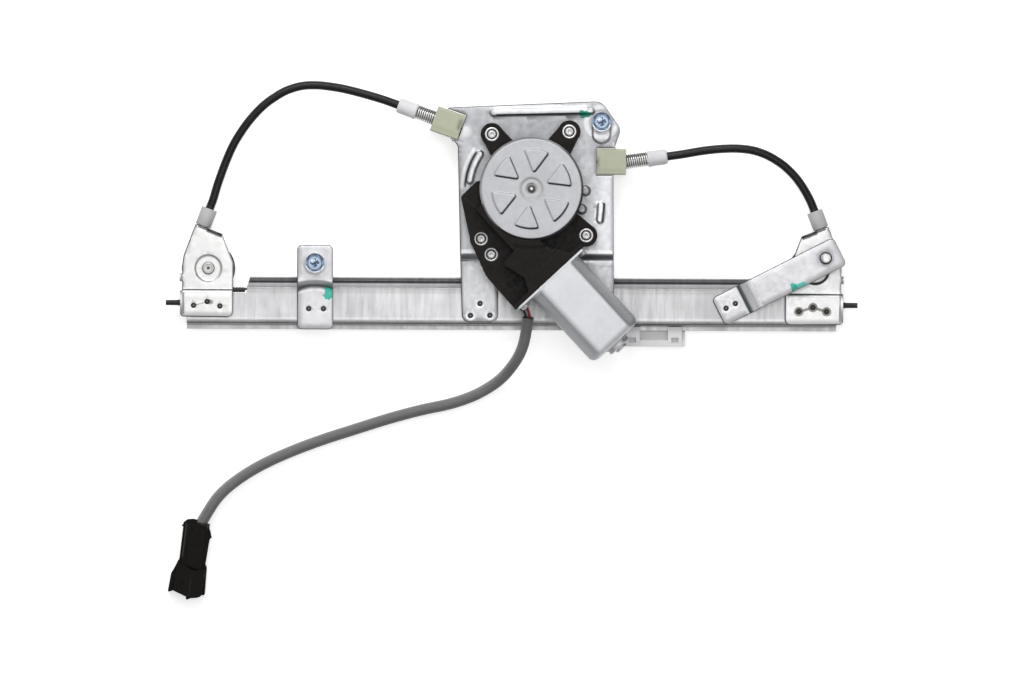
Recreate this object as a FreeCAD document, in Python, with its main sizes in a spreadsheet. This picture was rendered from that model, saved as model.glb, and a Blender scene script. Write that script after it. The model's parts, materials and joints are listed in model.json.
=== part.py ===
import FreeCAD, Part
import math
import os
import Sketcher
from FreeCAD import Placement, Rotation, Vector
from types import SimpleNamespace

# Car window regulator: a guide rail with a cable pulley at each end, a glass carrier that slides on it,
# and a worm gear motor on a pressed plate that winds the cable through two sheathed runs.
# +X runs along the rail, +Y across it towards the motor, and +Z out of the plates' front face. X is 0 at
# the rail's middle, and rail_y sets the rail's centre line so that the whole is centred on the origin.
# Points below are measured from the rail's middle. Lengths are in millimetres and angles in degrees.

# Driving dimensions
SIZES = {
    "rail_y": -56.7,
    # Guide rail, a rolled channel that opens to the back
    "rail_length": 442.0,
    "rail_gauge": 1.2,
    "rail_depth": 10.0,
    "web_front": 14.0,
    "web_top": 11.9,
    "web_low": 13.3,
    "wall_slope": 63.0,
    "upper_lip": 2.6,
    "lower_lip": 3.4,
    "tight_bend": 0.8,
    "web_bend": 2.2,
    "notch_length": 41.0,
    "notch_edge": 7.5,
    "notch_slant": 2.0,
    # Rail cable and its pulleys
    "cable_level": 8.0,
    "cable_diameter": 1.6,
    "pulley_inset": 14.6,
    "pulley_height": 24.5,
    "pulley_radius": 18.0,
    "pulley_width": 7.0,
    "cable_bend_radius": 14.0,
    "cable_exit_angle": 69.0,
    "cable_clearance": 0.3,
    "running_clearance": 0.05,
    "pulley_end_play": 0.3,
    "pulley_axle_radius": 3.0,
    "rivet_head_radius": 4.2,
    "rivet_head_height": 1.5,
    "rivet_flange_radius": 6.5,
    "rivet_flange": 1.3,
    # Pulley brackets, pressed sheet
    "bracket_gauge": 1.5,
    "bracket_back": 12.5,
    "bracket_reach_out": 18.3,
    "bracket_reach_in": 17.0,
    "bracket_foot": 33.0,
    "bracket_step": 14.2,
    "recess_radius": 8.6,
    "recess_depth": 0.7,
    "fold_distance": 25.5,
    "fold_left": 5.0,
    "fold_right": 14.4,
    "fold_back": 3.5,
    "ferrule_notch": 7.6,
    "end_wall_height": 16.0,
    "stop_hole_radius": 2.2,
    # Bump stops
    "stop_radius": 4.4,
    "stop_length": 12.0,
    "stop_height": 1.0,
    "stop_tail_radius": 1.8,
    "stop_tail_length": 9.2,
    # Mounting straps and their fasteners
    "strap_gauge": 1.5,
    "mount_back": 21.0,
    "left_strap_x": 133.6,
    "left_strap_width": 24.4,
    "left_strap_top": 40.5,
    "left_strap_foot": 16.9,
    "left_strap_joggle": 15.3,
    "left_bolt_y": 28.2,
    "strap_corner": 3.4,
    "joggle_slope": 62.0,
    "right_strap_angle": 117.0,
    "right_strap_x": 149.0,
    "right_strap_y": 0.3,
    "right_strap_width": 21.0,
    "right_strap_pad": 9.5,
    "right_strap_arm": 83.0,
    "right_strap_joggle": 9.0,
    "right_joggle_slope": 38.0,
    "stud_setback": 11.0,
    "stud_radius": 3.0,
    "stud_neck_radius": 3.2,
    "stud_neck_stand": 0.3,
    "stud_length": 12.0,
    "stud_head_radius": 5.5,
    "bolt_shank": 20.0,
    "bolt_stand": 5.0,
    "bolt_flange_radius": 6.6,
    "bolt_flange": 1.2,
    "bolt_flats": 10.0,
    "bolt_head": 5.0,
    "cross_span": 6.0,
    "cross_width": 1.5,
    "cross_depth": 1.8,
    "nut_flats": 11.0,
    "nut_height": 5.0,
    "clinch_radius": 1.7,
    "clinch_depth": 0.6,
    # Base plate
    "plate_gauge": 1.5,
    "drum_x": 13.1,
    "drum_y": 78.9,
    "plate_top": 57.5,
    "plate_left": 48.3,
    "plate_right": 56.0,
    "plate_corner": 9.0,
    "dimple_radius": 3.1,
    "arc_bead_radius": 41.2,
    "arc_bead_width": 5.4,
    "arc_bead_start": 146.0,
    "arc_bead_end": 178.0,
    "bead_height": 0.9,
    "leg_width": 24.5,
    "leg_gap": 54.4,
    "leg_foot": 11.6,
    "gap_top": 35.0,
    "plate_joggle": 43.9,
    "hub_hole": 9.0,
    "plate_bolt_x": 60.5,
    "plate_bolt_y": 124.8,
    # Drum, its housing and the cable's way to the sockets
    "drum_radius": 21.4,
    "drum_bend_radius": 19.0,
    "drum_back": 3.0,
    "drum_width": 14.6,
    "groove_pitch": 2.4,
    "drum_hub_radius": 5.0,
    "drum_gap": 0.8,
    "drum_wall": 3.4,
    "drum_floor": 2.0,
    "arm_width": 9.0,
    "left_cable_level": 14.2,
    "right_cable_level": 11.8,
    "left_cable_angle": 157.0,
    "left_block_angle": 160.2,
    "left_block_reach": 72.6,
    "left_block_bearing": 141.8,
    "right_block_reach": 54.4,
    "block_length": 19.5,
    "block_width": 17.4,
    "block_height": 18.0,
    "block_back": 4.0,
    "block_clearance": 0.4,
    # Tension springs and ferrules
    "spring_radius": 4.85,
    "spring_wire": 1.2,
    "spring_pitch": 1.7,
    "left_spring_length": 12.8,
    "right_spring_length": 15.0,
    "spring_seat": 3.0,
    "spring_room": 0.5,
    "right_sheath_tilt": 8.0,
    "ferrule_radius": 5.3,
    "ferrule_length": 12.4,
    "ferrule_neck": 3.7,
    "ferrule_collar": 4.3,
    "socket_ferrule_radius": 5.5,
    "socket_ferrule_length": 13.4,
    "conduit_radius": 2.9,
    # Gearbox
    "gear_level": 36.5,
    "wheel_teeth": 48.0,
    "gear_module": 1.0,
    "wheel_width": 6.0,
    "worm_pitch_radius": 4.4,
    "worm_root_radius": 3.3,
    "worm_tip_radius": 5.3,
    "worm_half_turns": 3.0,
    "motor_angle": 133.0,
    "damper_radius": 15.0,
    "hub_core_radius": 8.0,
    "wing_top_x": 37.5,
    "wing_top_y": 5.0,
    "wing_tip_x": 48.0,
    "wing_tip_y": 5.4,
    "wing_low_x": 40.9,
    "wing_low_y": 36.7,
    "wing_foot_x": 30.5,
    "wing_foot_y": 59.2,
    "housing_slab": 11.5,
    "housing_floor": 2.0,
    "cup_radius": 33.2,
    "cup_wall_inside": 25.8,
    "cup_top": 43.4,
    "ear_radius": 7.6,
    "ear_height": 8.5,
    "ear_a_reach": 45.9,
    "ear_a_bearing": 126.0,
    "ear_b_reach": 46.7,
    "ear_b_bearing": 56.9,
    "ear_c_reach": 48.6,
    "ear_c_bearing": 320.0,
    "ear_d_reach": 48.0,
    "ear_d_bearing": 224.8,
    "ear_e_reach": 52.1,
    "ear_e_bearing": 238.6,
    "bushing_radius": 4.9,
    "bushing_bore": 3.2,
    "screw_radius": 2.9,
    "screw_head_radius": 4.6,
    "screw_head_height": 2.6,
    "boss_thickness": 3.0,
    "cover_radius": 34.5,
    "cover_gauge": 1.2,
    "cover_skirt": 2.0,
    "cover_turn": 22.5,
    "cover_pads": 6.0,
    "cover_pad_inner": 9.8,
    "cover_pad_outer": 25.3,
    "cover_pad_width": 8.6,
    "cover_pad_height": 0.9,
    "shaft_tip_radius": 2.6,
    "cover_hole": 2.9,
    "cover_dimple": 7.8,
    # Motor
    "flange_distance": 52.8,
    "flange_low": 28.0,
    "flange_high": 35.0,
    "flange_height": 26.0,
    "flange_gauge": 1.6,
    "can_radius": 21.0,
    "can_height": 33.0,
    "can_length": 62.5,
    "can_wall": 1.4,
    "can_boss_radius": 7.0,
    "can_boss": 2.6,
    "shaft_radius": 2.5,
    "bearing_setback": 8.0,
    "core_setback": 33.2,
    "core_radius": 14.6,
    "core_length": 32.0,
    "magnet_thickness": 4.4,
    "magnet_length": 40.0,
    "magnet_arc": 96.0,
    "commutator_radius": 6.5,
    "commutator_length": 9.0,
    "brush_width": 5.0,
    "motor_screw_high": 28.5,
    "motor_screw_low": 24.6,
    "motor_screw_radius": 2.0,
    "motor_screw_head": 3.2,
    # Carrier
    "carrier_x": 97.6,
    "carrier_length": 41.0,
    "carrier_back": 3.2,
    "carrier_low": 27.5,
    "carrier_high": 18.0,
    "carrier_gap": 0.6,
    "shoe_top": 7.8,
    "lug_top": 12.2,
    "lug_length": 6.0,
    "hook_front": 8.6,
    "hook_reach": 14.1,
    "left_hook": 10.2,
    "right_hook": 9.6,
    "nipple_radius": 2.4,
    "nipple_length": 6.2,
    "insert_spacing": 24.0,
    "insert_radius": 4.0,
    "insert_bore": 3.0,
    "insert_depth": 8.0,
    # Wiring
    "lead_radius": 0.9,
    "sleeve_radius": 3.8,
    "plug_x": -212.0,
    "plug_y": -148.6,
    "plug_angle": 82.8,
    "plug_body": 28.0,
    "plug_width": 18.4,
    "plug_height": 13.6,
    "shroud_length": 24.0,
    "shroud_width": 24.6,
    "shroud_height": 16.0,
    "shroud_wall": 1.8,
    "shroud_cavity": 18.0,
    "plug_offset": 2.6,
}

DOC = FreeCAD.newDocument("WindowRegulator")
SHEET = DOC.addObject("Spreadsheet::Sheet", "Sizes")
for row, (alias, number) in enumerate(SIZES.items(), start=1):
    SHEET.set("A%d" % row, alias)
    SHEET.set("B%d" % row, str(number))
    SHEET.setAlias("B%d" % row, alias)
DOC.recompute()


class Size:
    """A size with its present value and the expression that gives it from the sheet."""

    def __init__(self, value, text):
        self.value = float(value)
        self.text = text

    def __add__(self, other):
        other = as_size(other)
        return Size(self.value + other.value, "(%s + %s)" % (self.text, other.text))

    def __sub__(self, other):
        other = as_size(other)
        return Size(self.value - other.value, "(%s - %s)" % (self.text, other.text))

    def __mul__(self, other):
        other = as_size(other)
        return Size(self.value * other.value, "(%s * %s)" % (self.text, other.text))

    def __truediv__(self, other):
        other = as_size(other)
        return Size(self.value / other.value, "(%s / %s)" % (self.text, other.text))

    def __radd__(self, other):
        return as_size(other) + self

    def __rsub__(self, other):
        return as_size(other) - self

    def __rmul__(self, other):
        return as_size(other) * self

    def __rtruediv__(self, other):
        return as_size(other) / self

    def __neg__(self):
        return as_size(0) - self

    def __float__(self):
        return self.value


def as_size(number):
    return number if isinstance(number, Size) else Size(number, repr(float(number)))


def sin(angle):
    angle = as_size(angle)
    return Size(math.sin(math.radians(angle.value)), "sin(%s)" % angle.text)


def cos(angle):
    angle = as_size(angle)
    return Size(math.cos(math.radians(angle.value)), "cos(%s)" % angle.text)


def tan(angle):
    angle = as_size(angle)
    return Size(math.tan(math.radians(angle.value)), "tan(%s)" % angle.text)


def root(number):
    return Size(math.sqrt(number.value), "sqrt(%s)" % number.text)


S = SimpleNamespace(**{alias: Size(number, "Sizes." + alias) for alias, number in SIZES.items()})


def turned(along, side, angle):
    """The point that lies this far along a direction, and this far to its left."""
    return (along * cos(angle) - side * sin(angle), along * sin(angle) + side * cos(angle))


def shifted(point, by_x, by_y):
    return (point[0] + by_x, point[1] + by_y)


def bind(thing, prop, size):
    thing.setExpression(prop, as_size(size).text)


# Sketch shapes
def limit(sketch, kind, *where_and_size):
    """A dimension in a sketch, bound to its expression."""
    *where, amount = where_and_size
    index = sketch.addConstraint(Sketcher.Constraint(kind, *where, as_size(amount).value))
    bind(sketch, "Constraints[%d]" % index, amount)


def pin_point(sketch, geometry, end, x, y):
    limit(sketch, "DistanceX", geometry, end, x)
    limit(sketch, "DistanceY", geometry, end, y)


def outline(sketch, corners):
    """A closed loop through the corners, each (x, y) or (x, y, radius of its rounding)."""
    corners = [tuple(as_size(c) for c in corner) for corner in corners]
    spots = [Vector(c[0].value, c[1].value, 0) for c in corners]
    count = len(corners)
    entries, exits, arcs = [], [], {}
    for i, corner in enumerate(corners):
        here = spots[i]
        if len(corner) == 2:
            entries.append(here)
            exits.append(here)
            continue
        back = (spots[i - 1] - here).normalize()
        ahead = (spots[(i + 1) % count] - here).normalize()
        half = back.getAngle(ahead) / 2
        radius = corner[2].value
        reach = radius / math.tan(half)
        entries.append(here + back * reach)
        exits.append(here + ahead * reach)
        centre = here + (back + ahead).normalize() * (radius / math.sin(half))
        turns_left = back.cross(ahead).z < 0
        first, last = (entries[i], exits[i]) if turns_left else (exits[i], entries[i])
        start = math.atan2(first.y - centre.y, first.x - centre.x)
        stop = math.atan2(last.y - centre.y, last.x - centre.x)
        circle = Part.Circle(centre, Vector(0, 0, 1), radius)
        arcs[i] = (Part.ArcOfCircle(circle, start, stop), turns_left)
    lines = []
    for i in range(count):
        line = Part.LineSegment(exits[i], entries[(i + 1) % count])
        lines.append(sketch.addGeometry(line, False))
    for i, corner in enumerate(corners):
        before, after = lines[i - 1], lines[i]
        if i not in arcs:
            sketch.addConstraint(Sketcher.Constraint("Coincident", before, 2, after, 1))
            pin_point(sketch, after, 1, corner[0], corner[1])
            continue
        arc, turns_left = arcs[i]
        bend = sketch.addGeometry(arc, False)
        mark = sketch.addGeometry(Part.Point(spots[i]), True)
        near, far = (1, 2) if turns_left else (2, 1)
        sketch.addConstraint(Sketcher.Constraint("Tangent", before, 2, bend, near))
        sketch.addConstraint(Sketcher.Constraint("Tangent", bend, far, after, 1))
        sketch.addConstraint(Sketcher.Constraint("PointOnObject", mark, 1, before))
        sketch.addConstraint(Sketcher.Constraint("PointOnObject", mark, 1, after))
        pin_point(sketch, mark, 1, corner[0], corner[1])
        limit(sketch, "Radius", bend, corner[2])


def box_outline(sketch, left, low, right, top, rounding=None):
    corners = [(left, low), (right, low), (right, top), (left, top)]
    outline(sketch, corners if rounding is None else [c + (rounding,) for c in corners])


def circle(sketch, x, y, radius):
    x, y, radius = as_size(x), as_size(y), as_size(radius)
    ring = Part.Circle(Vector(x.value, y.value, 0), Vector(0, 0, 1), radius.value)
    index = sketch.addGeometry(ring, False)
    pin_point(sketch, index, 3, x, y)
    limit(sketch, "Radius", index, radius)


def flatted_circle(sketch, radius, half_height):
    """A circle about the sketch's origin with its top and bottom cut flat."""
    half_width = root(radius * radius - half_height * half_height)
    w, z, r = half_width.value, as_size(half_height).value, as_size(radius).value
    slope = math.atan2(z, w)
    ring = Part.Circle(Vector(0, 0, 0), Vector(0, 0, 1), r)
    top = sketch.addGeometry(Part.LineSegment(Vector(w, z, 0), Vector(-w, z, 0)), False)
    left = sketch.addGeometry(Part.ArcOfCircle(ring, math.pi - slope, math.pi + slope), False)
    low = sketch.addGeometry(Part.LineSegment(Vector(-w, -z, 0), Vector(w, -z, 0)), False)
    right = sketch.addGeometry(Part.ArcOfCircle(ring, -slope, slope), False)
    loop = [(top, 2, left, 1), (left, 2, low, 1), (low, 2, right, 1), (right, 2, top, 1)]
    for joint in loop:
        sketch.addConstraint(Sketcher.Constraint("Coincident", *joint))
    for arc in (left, right):
        sketch.addConstraint(Sketcher.Constraint("Coincident", arc, 3, -1, 1))
        limit(sketch, "Radius", arc, radius)
    for line, level in ((top, half_height), (low, -as_size(half_height))):
        for end in (1, 2):
            limit(sketch, "DistanceY", line, end, level)


def arc_slot(sketch, inner, outer, start, stop):
    """A band between two radii and two angles about the sketch's origin."""
    first, last = math.radians(start.value), math.radians(stop.value)
    arcs = []
    for radius in (inner, outer):
        ring = Part.Circle(Vector(0, 0, 0), Vector(0, 0, 1), radius.value)
        arc = sketch.addGeometry(Part.ArcOfCircle(ring, first, last), False)
        sketch.addConstraint(Sketcher.Constraint("Coincident", arc, 3, -1, 1))
        limit(sketch, "Radius", arc, radius)
        for end, angle in ((1, start), (2, stop)):
            limit(sketch, "DistanceY", arc, end, radius * sin(angle))
        arcs.append(arc)
    for end, angle in ((1, start), (2, stop)):
        direction = Vector(math.cos(math.radians(angle.value)), math.sin(math.radians(angle.value)), 0)
        side = Part.LineSegment(direction * inner.value, direction * outer.value)
        line = sketch.addGeometry(side, False)
        sketch.addConstraint(Sketcher.Constraint("Coincident", line, 1, arcs[0], end))
        sketch.addConstraint(Sketcher.Constraint("Coincident", line, 2, arcs[1], end))


class Piece:
    """One sub-part's body, with short calls for the features it is made of."""

    def __init__(self, name):
        self.body = DOC.addObject("PartDesign::Body", name)
        self.body.Label = name
        self.count = 0

    def datum(self, role):
        return next(f for f in self.body.Origin.OriginFeatures if f.Role == role)

    def add(self, kind, word):
        self.count += 1
        return self.body.newObject(kind, "%s_%s_%d" % (self.body.Name, word, self.count))

    def sketch(self, role, level=0):
        """A sketch on an origin plane, or at a distance from it along the plane's normal."""
        sketch = self.add("Sketcher::SketchObject", "sketch")
        sketch.AttachmentSupport = [(self.datum(role), "")]
        sketch.MapMode = "FlatFace"
        bind(sketch, "AttachmentOffset.Base.z", level)
        return sketch

    def flat(self, level=0):
        return self.sketch("XY_Plane", level)

    def volume(self):
        DOC.recompute()
        return self.body.Shape.Volume

    def pad(self, sketch, length, reverse=False):
        feature = self.add("PartDesign::Pad", "pad")
        feature.Profile = sketch
        feature.Reversed = reverse
        bind(feature, "Length", length)
        return feature

    def pocket(self, sketch, length, reverse=False):
        before = self.volume()
        feature = self.add("PartDesign::Pocket", "pocket")
        feature.Profile = sketch
        feature.Reversed = reverse
        bind(feature, "Length", length)
        if self.volume() >= before:
            raise ValueError("%s cuts nothing" % feature.Name)
        return feature

    def revolve(self, sketch, axis, angle=360, reverse=False):
        feature = self.add("PartDesign::Revolution", "revolve")
        feature.Profile = sketch
        feature.ReferenceAxis = (self.datum(axis), [""])
        feature.Reversed = reverse
        bind(feature, "Angle", angle)
        return feature

    def repeat(self, feature, occurrences, axis="Z_Axis"):
        """The feature again, evenly spaced round an axis."""
        pattern = self.add("PartDesign::PolarPattern", "pattern")
        pattern.Originals = [feature]
        pattern.Axis = (self.datum(axis), [""])
        pattern.Angle = 360
        bind(pattern, "Occurrences", occurrences)
        self.body.Tip = pattern
        return pattern

    def mirror(self, features, plane):
        pattern = self.add("PartDesign::Mirrored", "mirror")
        pattern.Originals = features
        pattern.MirrorPlane = (self.datum(plane), [""])
        self.body.Tip = pattern
        return pattern

    def place(self, x=0, y=0, z=0, angle=0):
        angle = as_size(angle)
        about_z = Rotation(Vector(0, 0, 1), angle.value)
        self.body.Placement = Placement(Vector(0, 0, 0), about_z)
        if angle.value:
            bind(self.body, "Placement.Rotation.Angle", angle)
        bind(self.body, "Placement.Base.x", x)
        bind(self.body, "Placement.Base.y", y + S.rail_y)
        bind(self.body, "Placement.Base.z", z)
        return self


def disc(piece, x, y, radius, level, length):
    sketch = piece.flat(level)
    circle(sketch, x, y, radius)
    return piece.pad(sketch, length)


def hole(piece, x, y, radius, top, depth):
    sketch = piece.flat(top)
    circle(sketch, x, y, radius)
    return piece.pocket(sketch, depth)


def block(piece, left, low, right, top, level, length, rounding=None):
    sketch = piece.flat(level)
    box_outline(sketch, left, low, right, top, rounding)
    return piece.pad(sketch, length)


def stepped_sheet(piece, high_end, step, low_end, high_back, low_back, gauge, slope, left, right):
    """A strip of sheet along Y whose back changes level over a joggle that ends at step."""
    rise = high_back - low_back
    slope = slope if rise.value > 0 else -slope
    foot = step - rise / tan(slope)
    inside = gauge * tan(slope / 2)
    sketch = piece.sketch("YZ_Plane", left)
    outline(sketch, [
        (high_end, high_back + gauge),
        (step, high_back + gauge),
        (foot, low_back + gauge),
        (low_end, low_back + gauge),
        (low_end, low_back),
        (foot + inside, low_back),
        (step + inside, high_back),
        (high_end, high_back),
    ])
    return piece.pad(sketch, right - left)


def trim(piece, corners, level, depth, margin=30):
    """Cuts away all of a sheet that lies outside an outline."""
    sketch = piece.flat(level)
    xs = sorted((as_size(c[0]) for c in corners), key=float)
    ys = sorted((as_size(c[1]) for c in corners), key=float)
    box_outline(sketch, xs[0] - margin, ys[0] - margin, xs[-1] + margin, ys[-1] + margin)
    outline(sketch, corners)
    return piece.pocket(sketch, depth)


def clinch(piece, x, y, level):
    """A round press joint that holds a sheet to the one behind it."""
    hole(piece, x, y, S.clinch_radius, level, S.clinch_depth)


NODES = []


def keep(thing, name=None):
    """Marks an object as a sub-part to be written out, under its label."""
    if name:
        thing.Label = name
    NODES.append(thing)
    return thing


def mirrored(source, name):
    copy = DOC.addObject("Part::Mirroring", name)
    copy.Source = source
    copy.Normal = Vector(1, 0, 0)
    copy.Base = Vector(0, 0, 0)
    return keep(copy, name)


def cut(name, base, tools):
    for number, tool in enumerate(tools):
        result = DOC.addObject("Part::Cut", "%s_cut_%d" % (name, number))
        result.Base = base
        result.Tool = tool
        base = result
    return keep(base, name)


PLATE_FRONT = S.mount_back + S.plate_gauge
PULLEY_X = S.rail_length / 2 - S.pulley_inset
LIP_BACK = S.web_front - S.rail_depth


# Guide rail
def make_rail():
    rail = Piece("guide_rail")
    gauge = S.rail_gauge
    lip_front = LIP_BACK + gauge
    inside = gauge * tan(S.wall_slope / 2)
    foot = S.web_top + (S.web_front - lip_front) / tan(S.wall_slope)
    upper_edge = foot + S.upper_lip
    lower_edge = -(S.web_low + S.lower_lip)
    tight, outer = S.tight_bend, S.tight_bend + gauge
    sketch = rail.sketch("YZ_Plane", -S.rail_length / 2)
    outline(sketch, [
        (upper_edge, lip_front),
        (foot, lip_front, tight),
        (S.web_top, S.web_front, outer),
        (-S.web_low, S.web_front, S.web_bend + gauge),
        (-S.web_low, lip_front, tight),
        (lower_edge, lip_front),
        (lower_edge, LIP_BACK),
        (gauge - S.web_low, LIP_BACK, outer),
        (gauge - S.web_low, S.web_front - gauge, S.web_bend),
        (S.web_top - inside, S.web_front - gauge, tight),
        (foot - inside, LIP_BACK, outer),
        (upper_edge, LIP_BACK),
    ])
    rail.pad(sketch, S.rail_length)
    notch = rail.flat(S.web_front + 1)
    end = S.rail_length / 2
    start = end - S.notch_length
    outline(notch, [
        (-end - 1, S.notch_edge),
        (-start, S.notch_edge),
        (-start, S.web_top),
        (S.notch_slant - start, upper_edge + 1),
        (-end - 1, upper_edge + 1),
    ])
    left_notch = rail.pocket(notch, S.rail_depth + 2)
    rail.mirror([left_notch], "YZ_Plane")
    rail.place()
    keep(rail.body)


# Pulleys, their axle rivets and brackets. Each is made at the left end and mirrored for the right one.
def by_cable(along, side):
    """A point from the pulley's axis, along the cable's way out and to the rail's side of it."""
    angle = S.cable_exit_angle
    return turned(along, S.cable_bend_radius - side, angle)


def make_pulleys():
    pulley = Piece("left_pulley")
    width, level = S.pulley_width, S.cable_level
    low, top = level - width / 2, level + width / 2
    groove = S.cable_bend_radius - S.cable_diameter / 2 - S.cable_clearance
    half_groove = S.cable_diameter / 2 + S.cable_clearance
    bore = S.pulley_axle_radius + S.running_clearance
    hub, web = S.pulley_axle_radius + 3.2, groove - 2.4
    dish = width / 4
    sketch = pulley.sketch("XZ_Plane")
    outline(sketch, [
        (bore, low),
        (hub, low),
        (hub, low + dish),
        (web, low + dish),
        (web, low),
        (S.pulley_radius, low),
        (S.pulley_radius, low + width / 8),
        (groove, level - half_groove),
        (groove, level + half_groove),
        (S.pulley_radius, top - width / 8),
        (S.pulley_radius, top),
        (web, top),
        (web, top - dish),
        (hub, top - dish),
        (hub, top),
        (bore, top),
    ])
    pulley.revolve(sketch, "Z_Axis")
    pulley.place(-PULLEY_X, S.pulley_height)
    keep(pulley.body)
    mirrored(pulley.body, "right_pulley")

    rivet = Piece("left_pulley_axle")
    seat = S.bracket_back + S.bracket_gauge - S.recess_depth
    flange_top = low - S.pulley_end_play
    sketch = rivet.sketch("XZ_Plane")
    outline(sketch, [
        (0, 0),
        (S.pulley_axle_radius, 0),
        (S.pulley_axle_radius, flange_top - S.rivet_flange),
        (S.rivet_flange_radius, flange_top - S.rivet_flange),
        (S.rivet_flange_radius, flange_top),
        (S.pulley_axle_radius, flange_top),
        (S.pulley_axle_radius, seat),
        (S.rivet_head_radius, seat),
        (S.rivet_head_radius * 0.7, seat + S.rivet_head_height),
        (0, seat + S.rivet_head_height),
    ])
    rivet.revolve(sketch, "Z_Axis")
    rivet.place(-PULLEY_X, S.pulley_height)
    keep(rivet.body)
    mirrored(rivet.body, "right_pulley_axle")


def make_brackets():
    bracket = Piece("left_pulley_bracket")
    gauge, back = S.bracket_gauge, S.bracket_back
    pad_back = S.web_front
    top = pad_back + gauge
    outer, inner = -S.bracket_reach_out, S.bracket_reach_in
    fold_top_left = by_cable(S.fold_distance, -S.fold_left)
    fold_top_right = by_cable(S.fold_distance, S.fold_right)
    corners = [
        (outer, -S.bracket_foot, 1),
        (inner, -S.bracket_foot, 4),
        (inner, 3.5, 6),
        fold_top_right,
        fold_top_left,
        (outer + 1, 8.5, 8),
        (outer, 2),
    ]
    stepped_sheet(bracket, S.fold_distance * 1.5, -S.bracket_step, -S.bracket_foot - 1,
                  back, pad_back, gauge, as_size(45), outer - 1, inner + 8)
    trim(bracket, corners, top, top - back)
    # The dished seat of the rivet
    disc(bracket, 0, 0, S.recess_radius + gauge / 2, back - S.recess_depth, S.recess_depth)
    hole(bracket, 0, 0, S.recess_radius, back + gauge, S.recess_depth)
    # The fold that holds the sheath's ferrule between its two halves
    half = S.ferrule_notch / 2
    for first, last in ((-S.fold_left, -half), (half, S.fold_right)):
        wall = bracket.flat(S.fold_back)
        near, far = S.fold_distance, S.fold_distance + gauge
        outline(wall, [by_cable(near, first), by_cable(near, last), by_cable(far, last),
                       by_cable(far, first)])
        bracket.pad(wall, back + gauge - S.fold_back)
    # End wall behind the bump stop and the tab that keeps the cable in its groove
    wall_low = -S.bracket_foot + 0.4
    block(bracket, outer - gauge, wall_low, outer, wall_low + S.end_wall_height, LIP_BACK, top - LIP_BACK)
    block(bracket, outer - gauge, -9.2, outer, -3.5, S.cable_level, back + gauge - S.cable_level)
    stop = bracket.sketch("YZ_Plane", outer - gauge - 1)
    circle(stop, S.stop_height - S.pulley_height, S.cable_level, S.stop_hole_radius)
    bracket.pocket(stop, gauge + 2, reverse=True)
    hole(bracket, 0, 0, S.pulley_axle_radius, top, top)
    for x, y in ((-9.9, -25.0), (0.8, -22.4), (9.6, -25.2)):
        clinch(bracket, x, y, top)
    bracket.place(-PULLEY_X, S.pulley_height)
    keep(bracket.body)
    mirrored(bracket.body, "right_pulley_bracket")


def make_bump_stops():
    stop = Piece("left_bump_stop")
    wall_face = PULLEY_X + S.bracket_reach_out
    neck_end = S.bracket_gauge + 0.3
    sketch = stop.sketch("XY_Plane")
    outline(sketch, [
        (S.stop_length, 0),
        (S.stop_length, S.stop_radius * 0.6),
        (S.stop_length * 0.7, S.stop_radius),
        (0, S.stop_radius),
        (0, S.stop_hole_radius - 0.1),
        (-neck_end, S.stop_hole_radius - 0.1),
        (-neck_end - 1, S.stop_tail_radius),
        (-S.stop_tail_length - S.bracket_gauge, S.stop_tail_radius),
        (-S.stop_tail_length - S.bracket_gauge, 0),
    ])
    stop.revolve(sketch, "X_Axis")
    stop.place(-wall_face, S.stop_height, S.cable_level)
    keep(stop.body)
    mirrored(stop.body, "right_bump_stop")


# Mounting straps, with the bolts, nuts and stud that hold the regulator to the door
def make_straps():
    gauge = S.strap_gauge
    left = Piece("left_mount_strap")
    half = S.left_strap_width / 2
    front = S.mount_back + gauge
    stepped_sheet(left, S.left_strap_top + 1, S.left_strap_joggle, -S.left_strap_foot - 1,
                  S.mount_back, S.web_front, gauge, S.joggle_slope, -half - 1, half + 1)
    corner = S.strap_corner
    trim(left, [(-half, -S.left_strap_foot, corner), (half, -S.left_strap_foot, corner),
                (half, S.left_strap_top, corner), (-half, S.left_strap_top, corner)],
         front, front - S.web_front)
    hole(left, 0, S.left_bolt_y, S.stud_radius, front, gauge)
    for x in (-4.4, 5.6):
        clinch(left, x, -2.8, S.web_front + gauge)
    left.place(-S.left_strap_x)
    keep(left.body)

    right = Piece("right_mount_strap")
    half = S.right_strap_width / 2
    stepped_sheet(right, S.right_strap_pad + S.right_strap_pad + 1, -S.right_strap_joggle,
                  -S.right_strap_arm - 1, S.web_front, S.mount_back, gauge,
                  S.right_joggle_slope, -half - 1, half + 1)
    trim(right, [(-half, -S.right_strap_arm, corner), (half, -S.right_strap_arm, corner),
                 (half, S.right_strap_pad, corner), (-half, S.right_strap_pad, corner)],
         front, front - S.web_front)
    hole(right, 0, S.stud_setback - S.right_strap_arm, S.stud_neck_radius, front, gauge)
    for y in (-3.5, 3.6):
        clinch(right, 0, y, S.web_front + gauge)
    right.place(S.right_strap_x, S.right_strap_y, 0, S.right_strap_angle)
    keep(right.body)

    stud = Piece("strap_stud")
    sketch = stud.sketch("XZ_Plane")
    radius, neck, shoulder = S.stud_radius, S.stud_neck_radius, front + S.stud_neck_stand
    outline(sketch, [
        (0, S.mount_back - 2),
        (S.stud_head_radius, S.mount_back - 2),
        (S.stud_head_radius, S.mount_back),
        (neck, S.mount_back),
        (neck, shoulder),
        (radius, shoulder),
        (radius, front + S.stud_length - 1),
        (radius - 0.8, front + S.stud_length),
        (0, front + S.stud_length),
    ])
    stud.revolve(sketch, "Z_Axis")
    reach = S.right_strap_arm - S.stud_setback
    arm = S.right_strap_angle - 90
    stud.place(S.right_strap_x + reach * cos(arm), S.right_strap_y + reach * sin(arm))
    keep(stud.body)


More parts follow.
